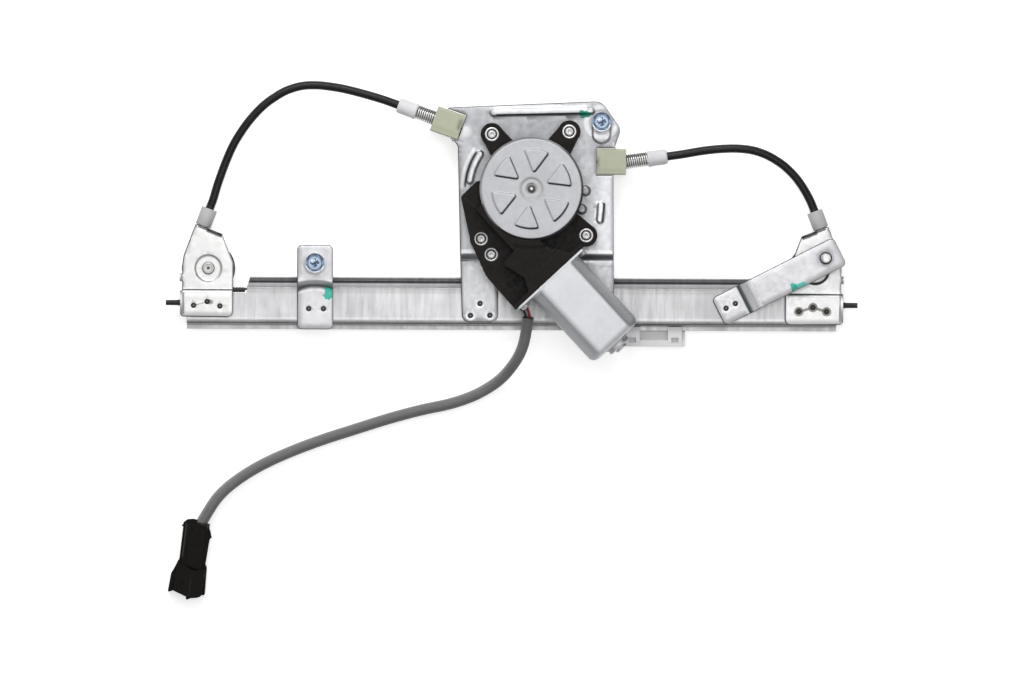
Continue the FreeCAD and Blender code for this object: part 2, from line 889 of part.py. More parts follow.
def mount_points():
    return ((-S.left_strap_x, S.left_bolt_y), (S.plate_bolt_x, S.plate_bolt_y))


def hexagon(sketch, x, y, flats):
    corner = flats / (2 * cos(30))
    outline(sketch, [shifted(turned(corner, as_size(0), as_size(60 * k)), x, y) for k in range(6)])


def cross(sketch, x, y, reach, half):
    quarter = [(reach, -half), (reach, half), (half, half)]
    outline(sketch, [shifted(turned(u, v, as_size(90 * k)), x, y) for k in range(4) for u, v in quarter])


def make_bolts():
    """Two flange bolts, each screwed into a nut that is welded behind its sheet."""
    bolts = Piece("mount_bolts")
    head = PLATE_FRONT + S.bolt_stand
    for x, y in mount_points():
        disc(bolts, x, y, S.stud_radius, head - S.bolt_shank, S.bolt_shank)
        disc(bolts, x, y, S.bolt_flange_radius, head, S.bolt_flange)
        sketch = bolts.flat(head + S.bolt_flange)
        hexagon(sketch, x, y, S.bolt_flats)
        bolts.pad(sketch, S.bolt_head - S.bolt_flange)
        recess = bolts.flat(head + S.bolt_head)
        cross(recess, x, y, S.cross_span / 2, S.cross_width / 2)
        bolts.pocket(recess, S.cross_depth)
    bolts.place()
    keep(bolts.body)
    nuts = Piece("weld_nuts")
    for x, y in mount_points():
        sketch = nuts.flat(S.mount_back - S.nut_height)
        hexagon(sketch, x, y, S.nut_flats)
        nuts.pad(sketch, S.nut_height)
        hole(nuts, x, y, S.stud_radius, S.mount_back, S.nut_height)
    nuts.place()
    keep(nuts.body)


# Base plate, drawn from the drum's axis
EARS = {
    "a": (S.ear_a_reach, S.ear_a_bearing),
    "b": (S.ear_b_reach, S.ear_b_bearing),
    "c": (S.ear_c_reach, S.ear_c_bearing),
    "d": (S.ear_d_reach, S.ear_d_bearing),
    "e": (S.ear_e_reach, S.ear_e_bearing),
}


def boss_tops():
    """The level of the housing's boss under each ear. The last one lies behind the plate's step."""
    return [S.mount_back] * 4 + [S.web_front - S.block_clearance]


def ear_points():
    return [turned(reach, as_size(0), bearing) for reach, bearing in EARS.values()]


def left_block_centre():
    return turned(S.left_block_reach, as_size(0), S.left_block_bearing)


def right_block_centre():
    return (S.right_block_reach, S.drum_bend_radius)


def block_outline(centre, angle, clearance):
    """The corners of a socket block with a clearance all round."""
    along = S.block_length / 2 + clearance
    side = S.block_width / 2 + clearance
    return [shifted(turned(u, v, angle), *centre)
            for u, v in ((-along, -side), (along, -side), (along, side), (-along, side))]


def make_base_plate():
    plate = Piece("base_plate")
    gauge = S.plate_gauge
    front = PLATE_FRONT
    foot = -(S.drum_y + S.leg_foot)
    half_gap = S.leg_gap / 2
    middle = S.leg_gap / 2 - 22.3
    left, right = middle - half_gap, middle + half_gap
    leg = S.leg_width
    stepped_sheet(plate, S.plate_top + 5, -S.plate_joggle, foot - 1, S.mount_back, S.web_front,
                  gauge, as_size(60), -S.plate_left - 12, S.plate_right + 8)
    neck = 26.6
    corners = [
        (left - leg, foot, 5.4),
        (left, foot, 5.4),
        (left, -S.gap_top, 4),
        (right, -S.gap_top, 4),
        (right, foot, 5.4),
        (right + leg, foot, 5.4),
        (S.plate_right - 0.4, neck, 6),
        (S.plate_right + 5, neck + 14.5, 8),
        (S.plate_right - 8.6, S.plate_top + 2.6, S.plate_corner),
        (-S.plate_left - 9.3, S.plate_top - 2.2, 2),
        (-S.plate_left - 7.4, S.plate_top - 22, 3),
        (-S.plate_left - 1.8, neck + 3, 5),
        (-S.plate_left, -S.plate_joggle, 40),
    ]
    trim(plate, corners, front, front - S.web_front)
    # Stiffening beads pressed forwards
    block(plate, -27, S.plate_top - 7.6, 41.6, S.plate_top - 2.6, front, S.bead_height, 2.4)
    block(plate, 44.2, -24, 49.4, -8, front, S.bead_height, 2.5)
    arc_bead = plate.flat(front)
    arc_slot(arc_bead, S.arc_bead_radius, S.arc_bead_radius + S.arc_bead_width, S.arc_bead_start,
             S.arc_bead_end)
    plate.pad(arc_bead, S.bead_height)
    # Raised seat of the upper mounting bolt
    bolt_x, bolt_y = S.plate_bolt_x - S.drum_x, S.plate_bolt_y - S.drum_y
    block(plate, bolt_x - 5.6, bolt_y - 14, bolt_x + 5.6, bolt_y + 5.6, front, 1.2, 5.5)
    hole(plate, bolt_x, bolt_y, S.stud_radius, front + 1.2, gauge + 1.2)
    hole(plate, 0, 0, S.hub_hole, front, gauge)
    for x, y in ear_points():
        hole(plate, x, y, S.screw_radius + 0.3, front, front - S.web_front)
    for centre, angle in ((left_block_centre(), S.left_block_angle), (right_block_centre(), as_size(0))):
        notch = plate.flat(front + 2)
        outline(notch, block_outline(centre, angle, S.block_clearance))
        plate.pocket(notch, gauge + 2.5)
    for x, y in ((-34.6, -77.7), (-41.1, -85.9), (-27.9, -85.7)):
        clinch(plate, x, y, S.web_front + gauge)
    for bearing in (-1.4, -21.5):
        x, y = turned(S.cup_radius + S.dimple_radius + 0.3, as_size(0), as_size(bearing))
        disc(plate, x, y, S.dimple_radius, front, 0.7)
    plate.place(S.drum_x, S.drum_y)
    keep(plate.body)


# Cable drum in its housing behind the plate
def arm_outline(reach, bearing, half_inner, half_outer):
    return [turned(as_size(0), -half_inner, bearing), turned(reach, -half_outer, bearing),
            turned(reach, half_outer, bearing), turned(as_size(0), half_inner, bearing)]


def cable_lanes():
    """Each cable's level, direction from the drum, and distance from its tangent to the block's face."""
    half_block = S.block_length / 2
    left_run = root(S.left_block_reach * S.left_block_reach - S.drum_bend_radius * S.drum_bend_radius)
    return ((S.left_cable_level, S.left_cable_angle, left_run - half_block, as_size(-1)),
            (S.right_cable_level, as_size(0), S.right_block_reach - half_block, as_size(1)))


def make_drum_housing():
    housing = Piece("drum_housing")
    outer = S.drum_radius + S.drum_gap + S.drum_wall
    top = S.mount_back
    thick = S.boss_thickness
    disc(housing, 0, 0, outer, 0, top)
    for (reach, bearing), level in zip(EARS.values(), boss_tops()):
        arm = housing.flat(level - thick)
        outline(arm, arm_outline(reach, bearing, S.ear_radius + 2, S.ear_radius - 1))
        housing.pad(arm, thick)
        disc(housing, *turned(reach, as_size(0), bearing), S.ear_radius, level - thick, thick)
    half = S.arm_width / 2
    for level, angle, run, side in cable_lanes():
        run = run - S.block_clearance
        offset = side * S.drum_bend_radius
        guide = housing.flat(S.block_back)
        outline(guide, [turned(u, offset + v, angle)
                        for u, v in ((as_size(0), -half), (run, -half), (run, half), (as_size(0), half))])
        housing.pad(guide, top - S.block_back)
    hole(housing, 0, 0, S.drum_radius + S.drum_gap, top, top - S.drum_floor)
    hole(housing, 0, 0, S.drum_hub_radius + S.running_clearance, S.drum_floor, S.drum_floor)
    lane = S.cable_diameter / 2 + 0.7
    for level, angle, run, side in cable_lanes():
        offset = side * S.drum_bend_radius
        slot = housing.flat(top)
        outline(slot, [turned(u, offset + v, angle)
                       for u, v in ((as_size(0), -lane), (run + 1, -lane), (run + 1, lane),
                                    (as_size(0), lane))])
        housing.pocket(slot, top - level + lane)
    for (x, y), level in zip(ear_points(), boss_tops()):
        hole(housing, x, y, S.screw_radius + 0.1, level, thick)
    wells = housing.flat(top - thick)
    for x, y in ear_points()[:4]:
        circle(wells, x, y, S.screw_head_radius + S.spring_room)
    housing.pocket(wells, top - thick)
    housing.place(S.drum_x, S.drum_y)
    keep(housing.body)


def make_drum():
    drum = Piece("cable_drum")
    radius = S.drum_radius
    low, top = S.drum_back, S.drum_back + S.drum_width
    root_radius = S.drum_bend_radius - S.cable_diameter / 2
    half = S.cable_diameter / 2 + S.running_clearance
    crest = S.drum_bend_radius + 0.5
    outline_points = [(S.drum_hub_radius, low), (radius, low), (radius, low + 1), (crest, low + 1.5)]
    for level in wrap_levels():
        outline_points += [(crest, level - half), (root_radius, level - half),
                           (root_radius, level + half), (crest, level + half)]
    outline_points += [(crest, top - 1.5), (radius, top - 1), (radius, top), (S.drum_hub_radius, top)]
    sketch = drum.sketch("XZ_Plane")
    outline(sketch, outline_points)
    drum.revolve(sketch, "Z_Axis")
    lightening = drum.flat(top)
    circle(lightening, 12, 0, 3.4)
    drum.repeat(drum.pocket(lightening, S.drum_width - 2), 6)
    drum.place(S.drum_x, S.drum_y)
    keep(drum.body)

    wraps = Piece("drum_cable_wraps")
    for level in wrap_levels():
        ring = wraps.sketch("XZ_Plane")
        circle(ring, S.drum_bend_radius, level, S.cable_diameter / 2)
        wraps.revolve(ring, "Z_Axis")
    wraps.place(S.drum_x, S.drum_y)
    keep(wraps.body)


def wrap_levels():
    return [S.right_cable_level - 2 * S.groove_pitch, S.right_cable_level - S.groove_pitch,
            S.right_cable_level, S.left_cable_level]


def make_drum_cables():
    start = as_size(9)
    for name, (level, angle, run, side) in zip(("left", "right"), cable_lanes()):
        cable = DOC.addObject("Part::Cylinder", name + "_drum_cable")
        bind(cable, "Radius", S.cable_diameter / 2)
        length = run + S.block_length / 2 - start
        bind(cable, "Height", length)
        x, y = turned(start, side * S.drum_bend_radius, angle)
        tilt = Rotation(Vector(0, 0, 1), angle.value) * Rotation(Vector(0, 1, 0), 90)
        cable.Placement = Placement(Vector(0, 0, 0), tilt)
        bind(cable, "Placement.Base.x", S.drum_x + x)
        bind(cable, "Placement.Base.y", S.drum_y + y + S.rail_y)
        bind(cable, "Placement.Base.z", level)
        keep(cable, name + "_drum_cable")


# Socket blocks with the springs that keep the sheaths pushed out
def make_sockets():
    lanes = (("left", left_block_centre(), S.left_block_angle, S.left_cable_level),
             ("right", right_block_centre(), as_size(0), S.right_cable_level))
    half = S.block_length / 2
    width = S.block_width / 2
    for name, (x, y), angle, level in lanes:
        socket = Piece(name + "_socket_block")
        body = socket.sketch("YZ_Plane", -half)
        box_outline(body, -width, S.block_back, width, S.block_back + S.block_height, 1)
        socket.pad(body, S.block_length)
        way = socket.sketch("YZ_Plane", -half)
        circle(way, 0, level, 2.0)
        socket.pocket(way, S.block_length, reverse=True)
        seat = socket.sketch("YZ_Plane", half)
        circle(seat, 0, level, S.spring_radius + S.spring_room)
        socket.pocket(seat, S.spring_seat)
        socket.place(S.drum_x + x, S.drum_y + y, 0, angle)
        keep(socket.body)


def sheath_starts():
    """Each sheath's block centre and angle, its tilt from the block, the spring's length and the level."""
    return (("left", left_block_centre(), S.left_block_angle, as_size(0), S.left_spring_length,
             S.left_cable_level),
            ("right", right_block_centre(), as_size(0), S.right_sheath_tilt, S.right_spring_length,
             S.right_cable_level))


def out_of_block(centre, angle, tilt, beyond):
    """A point on the sheath's axis this far beyond the outer face of a socket block."""
    x, y = shifted(turned(S.block_length / 2, as_size(0), angle), *centre)
    return shifted(shifted(turned(beyond, as_size(0), angle + tilt), x, y), S.drum_x, S.drum_y)


def make_springs_and_ferrules():
    for name, centre, angle, tilt, length, level in sheath_starts():
        spring = Piece(name + "_tension_spring")
        deep = S.spring_seat - S.spring_radius * sin(tilt)
        wire = S.spring_wire / 2
        first, last = wire + S.running_clearance - deep, length - wire - S.running_clearance
        coil = spring.sketch("XY_Plane")
        circle(coil, first, wire - S.spring_radius, wire)
        helix = spring.add("PartDesign::AdditiveHelix", "helix")
        helix.Profile = coil
        helix.ReferenceAxis = (spring.datum("X_Axis"), [""])
        helix.Mode = "height-turns-angle"
        bind(helix, "Height", last - first)
        bind(helix, "Turns", (last - first) / S.spring_pitch)
        x, y = out_of_block(centre, angle, tilt, 0)
        spring.place(x, y, level, angle + tilt)
        keep(spring.body)
        ferrule = Piece(name + "_socket_ferrule")
        sketch = ferrule.sketch("XY_Plane")
        radius, reach = S.socket_ferrule_radius, S.socket_ferrule_length
        outline(sketch, [(0, 0), (reach, 0), (reach, radius - 1), (reach - 1.4, radius),
                         (1, radius), (0, radius - 0.6)])
        ferrule.revolve(sketch, "X_Axis")
        x, y = out_of_block(centre, angle, tilt, length)
        ferrule.place(x, y, level, angle + tilt)
        keep(ferrule.body)
    ferrule = Piece("left_bracket_ferrule")
    sketch = ferrule.sketch("XY_Plane")
    gauge, radius = S.bracket_gauge, S.ferrule_radius
    outline(sketch, [
        (-1.6, 0),
        (-1.6, S.ferrule_collar),
        (0, S.ferrule_collar),
        (0, S.ferrule_neck),
        (gauge, S.ferrule_neck),
        (gauge, radius),
        (gauge + S.ferrule_length - 1.2, radius),
        (gauge + S.ferrule_length, radius - 1),
        (gauge + S.ferrule_length, 0),
    ])
    ferrule.revolve(sketch, "X_Axis")
    x, y = by_cable(S.fold_distance, as_size(0))
    ferrule.place(x - PULLEY_X, y + S.pulley_height, S.cable_level, S.cable_exit_angle)
    keep(ferrule.body)
    mirrored(ferrule.body, "right_bracket_ferrule")


# Cables and wires
def rounded_path(points):
    """Straight runs joined by tangent arcs, each as large as its two runs allow."""
    edges, radii = [], []
    start = points[0]
    for before, here, after in zip(points, points[1:], points[2:]):
        back, ahead = before - here, after - here
        reach = 0.45 * min(back.Length, ahead.Length)
        turn = math.pi - back.getAngle(ahead)
        radius = reach / math.tan(turn / 2)
        back.normalize()
        ahead.normalize()
        middle = here + (back + ahead).normalize() * (radius / math.cos(turn / 2) - radius)
        edges.append(Part.LineSegment(start, here + back * reach).toShape())
        edges.append(Part.Arc(here + back * reach, middle, here + ahead * reach).toShape())
        radii.append(radius)
        start = here + ahead * reach
    edges.append(Part.LineSegment(start, points[-1]).toShape())
    return Part.Wire(edges), min(radii)


def tube(name, path, radius):
    """A round tube along a path of runs and tangent arcs."""
    first = path.OrderedEdges[0]
    start = first.valueAt(first.FirstParameter)
    way = first.tangentAt(first.FirstParameter)
    section = Part.Wire([Part.Circle(start, way, radius).toShape()])
    shape = path.makePipeShell([section], True, False)
    expected = math.pi * radius * radius * path.Length
    if abs(shape.Volume - expected) > 0.01 * expected:
        raise ValueError("%s has volume %.1f, not %.1f" % (name, shape.Volume, expected))
    thing = DOC.addObject("Part::Feature", name)
    thing.Shape = shape
    thing.Placement = Placement()
    bind(thing, "Placement.Base.y", S.rail_y)
    return keep(thing, name)


def spot(point, level):
    return Vector(float(point[0]), float(point[1]), float(level))


def make_rail_cable():
    """The cable from one bracket ferrule round both pulleys to the other."""
    level, radius = S.cable_level, float(S.cable_bend_radius)
    angle = float(S.cable_exit_angle)

    def place(point):
        return spot(shifted(point, -PULLEY_X, S.pulley_height), level)

    outer = place(by_cable(S.fold_distance - 1.7, as_size(0)))
    tangent = place(by_cable(as_size(0), as_size(0)))
    centre = place((as_size(0), as_size(0)))
    low = centre + Vector(0, -radius, 0)
    halfway = math.radians((angle + 90 + 270) / 2)
    bend = centre + Vector(radius * math.cos(halfway), radius * math.sin(halfway), 0)

    def other(v):
        return Vector(-v.x, v.y, v.z)

    path = Part.Wire([
        Part.LineSegment(outer, tangent).toShape(),
        Part.Arc(tangent, bend, low).toShape(),
        Part.LineSegment(low, other(low)).toShape(),
        Part.Arc(other(low), other(bend), other(tangent)).toShape(),
        Part.LineSegment(other(tangent), other(outer)).toShape(),
    ])
    tube("rail_cable", path, float(S.cable_diameter) / 2)


# Each sheath's route between its ferrules, chosen by hand: x, y, height
LEFT_SHEATH = [(-200.9, 80.4, 8.3), (-195.7, 95.3, 8.8), (-189.9, 109.0, 9.4), (-180.7, 123.4, 10.1),
               (-169.0, 136.3, 10.9), (-154.8, 145.5, 11.7), (-143.0, 149.1, 12.3), (-131.3, 149.3, 12.8),
               (-117.0, 147.4, 13.3), (-102.7, 143.9, 13.8)]
RIGHT_SHEATH = [(198.7, 80.2, 8.5), (192.4, 89.0, 9.0), (184.1, 96.8, 9.5), (173.7, 103.1, 10.0),
                (163.3, 106.6, 10.4), (151.9, 107.6, 10.8), (139.4, 107.0, 11.2), (128.6, 105.7, 11.5)]


def make_sheaths():
    fold_end = S.fold_distance + S.bracket_gauge + S.ferrule_length
    near = [shifted(by_cable(fold_end + more, as_size(0)), -PULLEY_X, S.pulley_height)
            for more in (as_size(0), as_size(5.5))]
    sides = zip(sheath_starts(), (LEFT_SHEATH, RIGHT_SHEATH), (1, -1))
    for (name, centre, angle, tilt, length, level), route, side in sides:
        bracket_end = [spot((side * p[0], p[1]), S.cable_level) for p in near]
        beyond = length + S.socket_ferrule_length
        block_end = [spot(out_of_block(centre, angle, tilt, beyond + more), level)
                     for more in (as_size(11), as_size(0))]
        path, tightest = rounded_path(bracket_end + [Vector(*p) for p in route] + block_end)
        print("%s sheath: length %.1f, tightest bend %.1f" % (name, path.Length, tightest))
        tube(name + "_cable_sheath", path, float(S.conduit_radius))


# Gearbox and motor. The motor's frame has its origin where the worm passes the wheel.
def axis_distance():
    return S.wheel_teeth * S.gear_module / 2 + S.worm_pitch_radius


def by_motor(along, side):
    """A point of the motor's frame as seen from the drum's axis."""
    return turned(along, side + axis_distance(), S.motor_angle)


def on_motor(piece):
    x, y = by_motor(as_size(0), as_size(0))
    return piece.place(S.drum_x + x, S.drum_y + y, S.gear_level, S.motor_angle)


def make_gearbox_housing():
    shell = Piece("gearbox_shell")
    back = PLATE_FRONT
    slab = shell.flat(back)
    flange = -S.flange_distance
    outline(slab, [
        (-S.wing_top_x, S.wing_top_y, 3),
        (-S.wing_tip_x, -S.wing_tip_y, 3),
        (-S.wing_low_x, -S.wing_low_y, 20),
        (-S.wing_foot_x, -S.wing_foot_y, 10),
        by_motor(flange, S.flange_high),
        by_motor(flange, -S.flange_low),
        (20, -10),
        (-10, 10),
    ])
    shell.pad(slab, S.housing_slab)
    disc(shell, 0, 0, S.cup_radius, back, S.cup_top - back)
    for letter, flare in (("a", 6), ("b", 6), ("c", 0)):
        reach, bearing = EARS[letter]
        arm = shell.flat(back)
        outline(arm, arm_outline(reach, bearing, S.ear_radius + flare, S.ear_radius - 0.2))
        shell.pad(arm, S.ear_height)
    for x, y in ear_points():
        disc(shell, x, y, S.ear_radius, back, S.ear_height)
    # Worm tunnel and the taller chest in front of the motor
    tunnel = shell.flat(back)
    outline(tunnel, [by_motor(flange, as_size(-9)), by_motor(as_size(15), as_size(-9)),
                     by_motor(as_size(15), as_size(9)), by_motor(flange, as_size(9))])
    shell.pad(tunnel, S.gear_level + 9 - back)
    chest = shell.flat(back)
    outline(chest, [
        by_motor(flange, as_size(22)),
        (-4.3, -60.3, 2),
        (-19.5, -50.9, 2),
        (-9.5, -39.8, 2),
        (11.6, -39.2, 2),
        by_motor(flange, as_size(-20)),
    ])
    shell.pad(chest, S.gear_level + S.flange_height / 2 - back)
    lip = shell.flat(back + 1)
    outline(lip, [by_motor(flange, S.flange_high), by_motor(flange, -S.flange_low),
                  by_motor(flange + 3, -S.flange_low), by_motor(flange + 3, S.flange_high)])
    shell.pad(lip, S.gear_level + S.flange_height / 2 - back - 1)
    # Seat of the cover
    clear = S.cover_radius + S.block_clearance
    hole(shell, 0, 0, clear, S.gear_level + S.flange_height, S.gear_level + S.flange_height - S.cup_top)
    ring = shell.flat(S.cup_top)
    circle(ring, 0, 0, clear)
    circle(ring, 0, 0, S.cup_radius)
    shell.pocket(ring, S.cover_skirt + S.block_clearance)
    # Wheel chamber, hub hole and screw holes
    hole(shell, 0, 0, S.cup_wall_inside, S.cup_top, S.cup_top - back - S.housing_floor)
    hole(shell, 0, 0, S.drum_hub_radius + S.running_clearance, back + S.housing_floor, S.housing_floor)
    for x, y in ear_points():
        hole(shell, x, y, S.bushing_radius, back + S.housing_slab, S.housing_slab)
    shell.place(S.drum_x, S.drum_y)

    space = Piece("worm_space")
    sketch = space.sketch("XY_Plane")
    clear = S.worm_tip_radius + 0.7
    outline(sketch, [
        (flange - 1, 0),
        (flange - 1, 9.5),
        (flange + S.bearing_setback, 9.5),
        (flange + S.bearing_setback, S.can_boss_radius - 2),
        (flange + S.bearing_setback + 6, S.can_boss_radius - 2),
        (flange + S.bearing_setback + 6, clear),
        (13, clear),
        (13, 0),
    ])
    space.revolve(sketch, "X_Axis")
    on_motor(space)
    holes = Piece("motor_screw_holes")
    for side in (S.motor_screw_high, -S.motor_screw_low):
        sketch = holes.sketch("YZ_Plane", flange - 1)
        circle(sketch, side, 0, S.motor_screw_radius)
        holes.pad(sketch, 11)
    on_motor(holes)
    cut("gearbox_housing", shell.body, [space.body, holes.body])


def make_gear_cover():
    cover = Piece("gear_cover")
    outer, gauge = S.cover_radius, S.cover_gauge
    seat = S.cup_top
    sketch = cover.sketch("XZ_Plane")
    outline(sketch, [
        (S.cover_hole, seat),
        (S.cup_radius, seat),
        (S.cup_radius, seat - S.cover_skirt),
        (outer, seat - S.cover_skirt),
        (outer, seat + gauge, 1),
        (S.cover_dimple, seat + gauge),
        (S.cover_dimple - 0.6, seat + gauge - 0.4),
        (S.cover_hole, seat + gauge - 0.4),
    ])
    cover.revolve(sketch, "Z_Axis")
    raised = cover.flat(seat + gauge)
    outline(raised, [
        (S.cover_pad_inner, 0, 1.4),
        (S.cover_pad_outer, -S.cover_pad_width, 1.6),
        (S.cover_pad_outer + 1.6, 0, 14),
        (S.cover_pad_outer, S.cover_pad_width, 1.6),
    ])
    cover.repeat(cover.pad(raised, S.cover_pad_height), S.cover_pads)
    cover.place(S.drum_x, S.drum_y, 0, S.cover_turn)
    keep(cover.body)


def make_wheel():
    wheel = Piece("worm_wheel")
    module, teeth = S.gear_module, S.wheel_teeth
    pitch = module * teeth / 2
    root_radius, tip = pitch - 1.3 * module, pitch + 0.9 * module
    low = S.gear_level - S.wheel_width / 2
    disc(wheel, 0, 0, root_radius, low, S.wheel_width)
    hole(wheel, 0, 0, S.damper_radius, low + S.wheel_width, S.wheel_width)
    tooth = wheel.flat(low)
    half_base, half_tip = 0.95 * module, 0.34 * module
    middle = S.motor_angle + 90 + 180 / teeth
    outline(tooth, [turned(root_radius - 0.4, -half_base, middle), turned(tip, -half_tip, middle),
                    turned(tip, half_tip, middle), turned(root_radius - 0.4, half_base, middle)])
    wheel.repeat(wheel.pad(tooth, S.wheel_width), teeth)
    wheel.place(S.drum_x, S.drum_y)
    keep(wheel.body)

    damper = Piece("rubber_damper")
    disc(damper, 0, 0, S.damper_radius, low, S.wheel_width)
    hole(damper, 0, 0, S.hub_core_radius, low + S.wheel_width, S.wheel_width)
    hollow = damper.flat(low + S.wheel_width)
    circle(hollow, 11.6, 0, 2)
    damper.repeat(damper.pocket(hollow, S.wheel_width), 6)
    damper.place(S.drum_x, S.drum_y)
    keep(damper.body)

    hub = Piece("drive_hub")
    sketch = hub.sketch("XZ_Plane")
    top = low + S.wheel_width
    outline(sketch, [
        (0, 0.3),
        (S.drum_hub_radius, 0.3),
        (S.drum_hub_radius, low),
        (S.hub_core_radius, low),
        (S.hub_core_radius, top),
        (4, top + 0.5),
        (4, S.cup_top - 0.4),
        (S.shaft_tip_radius, S.cup_top - 0.4),
        (S.shaft_tip_radius, S.cup_top + S.cover_gauge),
        (0, S.cup_top + S.cover_gauge + 0.6),
    ])
    hub.revolve(sketch, "Z_Axis")
    hub.place(S.drum_x, S.drum_y)
    keep(hub.body)


def make_motor():
    flange, gauge = -S.flange_distance, S.flange_gauge
    face = flange - gauge
    can_end = flange - S.can_length
    half = S.can_height / 2
    can = Piece("motor_can")
    body = can.sketch("YZ_Plane", can_end)
    flatted_circle(body, S.can_radius, half)
    can.pad(body, S.can_length)
    plate = can.sketch("YZ_Plane", face)
    box_outline(plate, -S.flange_low, -S.flange_height / 2, S.flange_high, S.flange_height / 2, 4)
    can.pad(plate, gauge)
    inside = can.sketch("YZ_Plane", flange)
    flatted_circle(inside, S.can_radius - S.can_wall, half - S.can_wall)
    can.pocket(inside, S.can_length - S.can_wall)
    boss = can.sketch("YZ_Plane", can_end)
    circle(boss, 0, 0, S.can_boss_radius)
    can.pad(boss, S.can_boss, reverse=True)
    seat = can.sketch("YZ_Plane", can_end + S.can_wall)
    circle(seat, 0, 0, S.can_boss_radius - 2)
    can.pocket(seat, S.can_boss)
    for side in (S.motor_screw_high, -S.motor_screw_low):
        screw = can.sketch("YZ_Plane", flange)
        circle(screw, side, 0, S.motor_screw_radius + 0.2)
        can.pocket(screw, gauge)
    on_motor(can)
    keep(can.body)

    magnets = Piece("motor_magnets")
    outer = S.can_radius - S.can_wall
    middle = flange - S.core_setback
    for side in (1, -1):
        tile = magnets.sketch("XY_Plane")
        box_outline(tile, middle - S.magnet_length / 2, side * (outer - S.magnet_thickness),
                    middle + S.magnet_length / 2, side * outer)
        feature = magnets.revolve(tile, "X_Axis", S.magnet_arc)
        feature.Midplane = True
    on_motor(magnets)
    keep(magnets.body)

    core = Piece("armature_core")
    start = middle - S.core_length / 2
    stack = core.sketch("YZ_Plane", start)
    circle(stack, 0, 0, S.core_radius)
    core.pad(stack, S.core_length)
    for low, length in ((start - 5, 5), (start + S.core_length, 5)):
        winding = core.sketch("YZ_Plane", low)
        circle(winding, 0, 0, S.core_radius - 3)
        core.pad(winding, length)
    bore = core.sketch("YZ_Plane", start - 5)
    circle(bore, 0, 0, S.shaft_radius)
    core.pocket(bore, S.core_length + 10, reverse=True)
    slot = core.sketch("YZ_Plane", start)
    box_outline(slot, -0.9, S.core_radius - 2.5, 0.9, S.core_radius + 1)
    core.repeat(core.pocket(slot, S.core_length, reverse=True), 10, "X_Axis")
    on_motor(core)
    keep(core.body)

    commutator = Piece("commutator")
    drum_start = start + S.core_length + 5.5
    ring = commutator.sketch("YZ_Plane", drum_start)
    circle(ring, 0, 0, S.commutator_radius)
    circle(ring, 0, 0, S.shaft_radius)
    commutator.pad(ring, S.commutator_length)
    on_motor(commutator)
    keep(commutator.body)

    bearings = Piece("motor_bearings")
    inner_bearing = flange + S.bearing_setback
    for low, length in ((can_end - S.can_boss + S.can_wall, S.can_boss), (inner_bearing, as_size(5))):
        ring = bearings.sketch("YZ_Plane", low)
        circle(ring, 0, 0, S.can_boss_radius - 2)
        circle(ring, 0, 0, S.shaft_radius + S.running_clearance)
        bearings.pad(ring, length)
    on_motor(bearings)
    keep(bearings.body)

    brushes = Piece("carbon_brushes")
    brush_start = drum_start + (S.commutator_length - S.brush_width) / 2
    for side in (1, -1):
        near = S.commutator_radius + S.running_clearance
        brush = brushes.sketch("YZ_Plane", brush_start)
        box_outline(brush, side * near, -2, side * (near + 7), 2)
        brushes.pad(brush, S.brush_width)

    card = Piece("brush_card")
    board = card.sketch("YZ_Plane", brush_start + S.brush_width + S.spring_room)
    flatted_circle(board, S.can_radius - S.can_wall - 0.2, half - S.can_wall - 0.2)
    circle(board, 0, 0, S.commutator_radius + 1.5)
    card.pad(board, 2)
    on_motor(card)
    keep(card.body)
    on_motor(brushes)
    keep(brushes.body)

    screws = Piece("motor_screws")
    for side in (S.motor_screw_high, -S.motor_screw_low):
        head = screws.sketch("YZ_Plane", face)
        circle(head, side, 0, S.motor_screw_head)
        screws.pad(head, 2.6, reverse=True)
        shank = screws.sketch("YZ_Plane", face)
        circle(shank, side, 0, S.motor_screw_radius)
        screws.pad(shank, 11)
    on_motor(screws)
    keep(screws.body)


def make_armature_shaft():
    shaft = Piece("armature_shaft")
    flange = -S.flange_distance
    can_end = flange - S.can_length
    lead = S.gear_module * math.pi
    turns = 2 * S.worm_half_turns
    worm_end = turns * lead / 2 + 1.6
    sketch = shaft.sketch("XY_Plane")
    outline(sketch, [
        (can_end + 0.2, 0),
        (can_end + 0.2, S.shaft_radius),
        (-worm_end - 2, S.shaft_radius),
        (-worm_end - 2, S.worm_root_radius),
        (worm_end, S.worm_root_radius),
        (worm_end, 0),
    ])
    shaft.revolve(sketch, "X_Axis")
    thread = shaft.sketch("XY_Plane")
    half_base, half_tip = 0.62 * S.gear_module, 0.26 * S.gear_module
    begin = -turns * lead / 2
    deep = -(S.worm_root_radius - 0.3)
    outline(thread, [(begin - half_base, deep), (begin - half_tip, -S.worm_tip_radius),
                     (begin + half_tip, -S.worm_tip_radius), (begin + half_base, deep)])
    helix = shaft.add("PartDesign::AdditiveHelix", "helix")
    helix.Profile = thread
    helix.ReferenceAxis = (shaft.datum("X_Axis"), [""])
    helix.Mode = "pitch-turns-angle"
    bind(helix, "Pitch", lead)
    bind(helix, "Turns", turns)
    on_motor(shaft)
    keep(shaft.body)


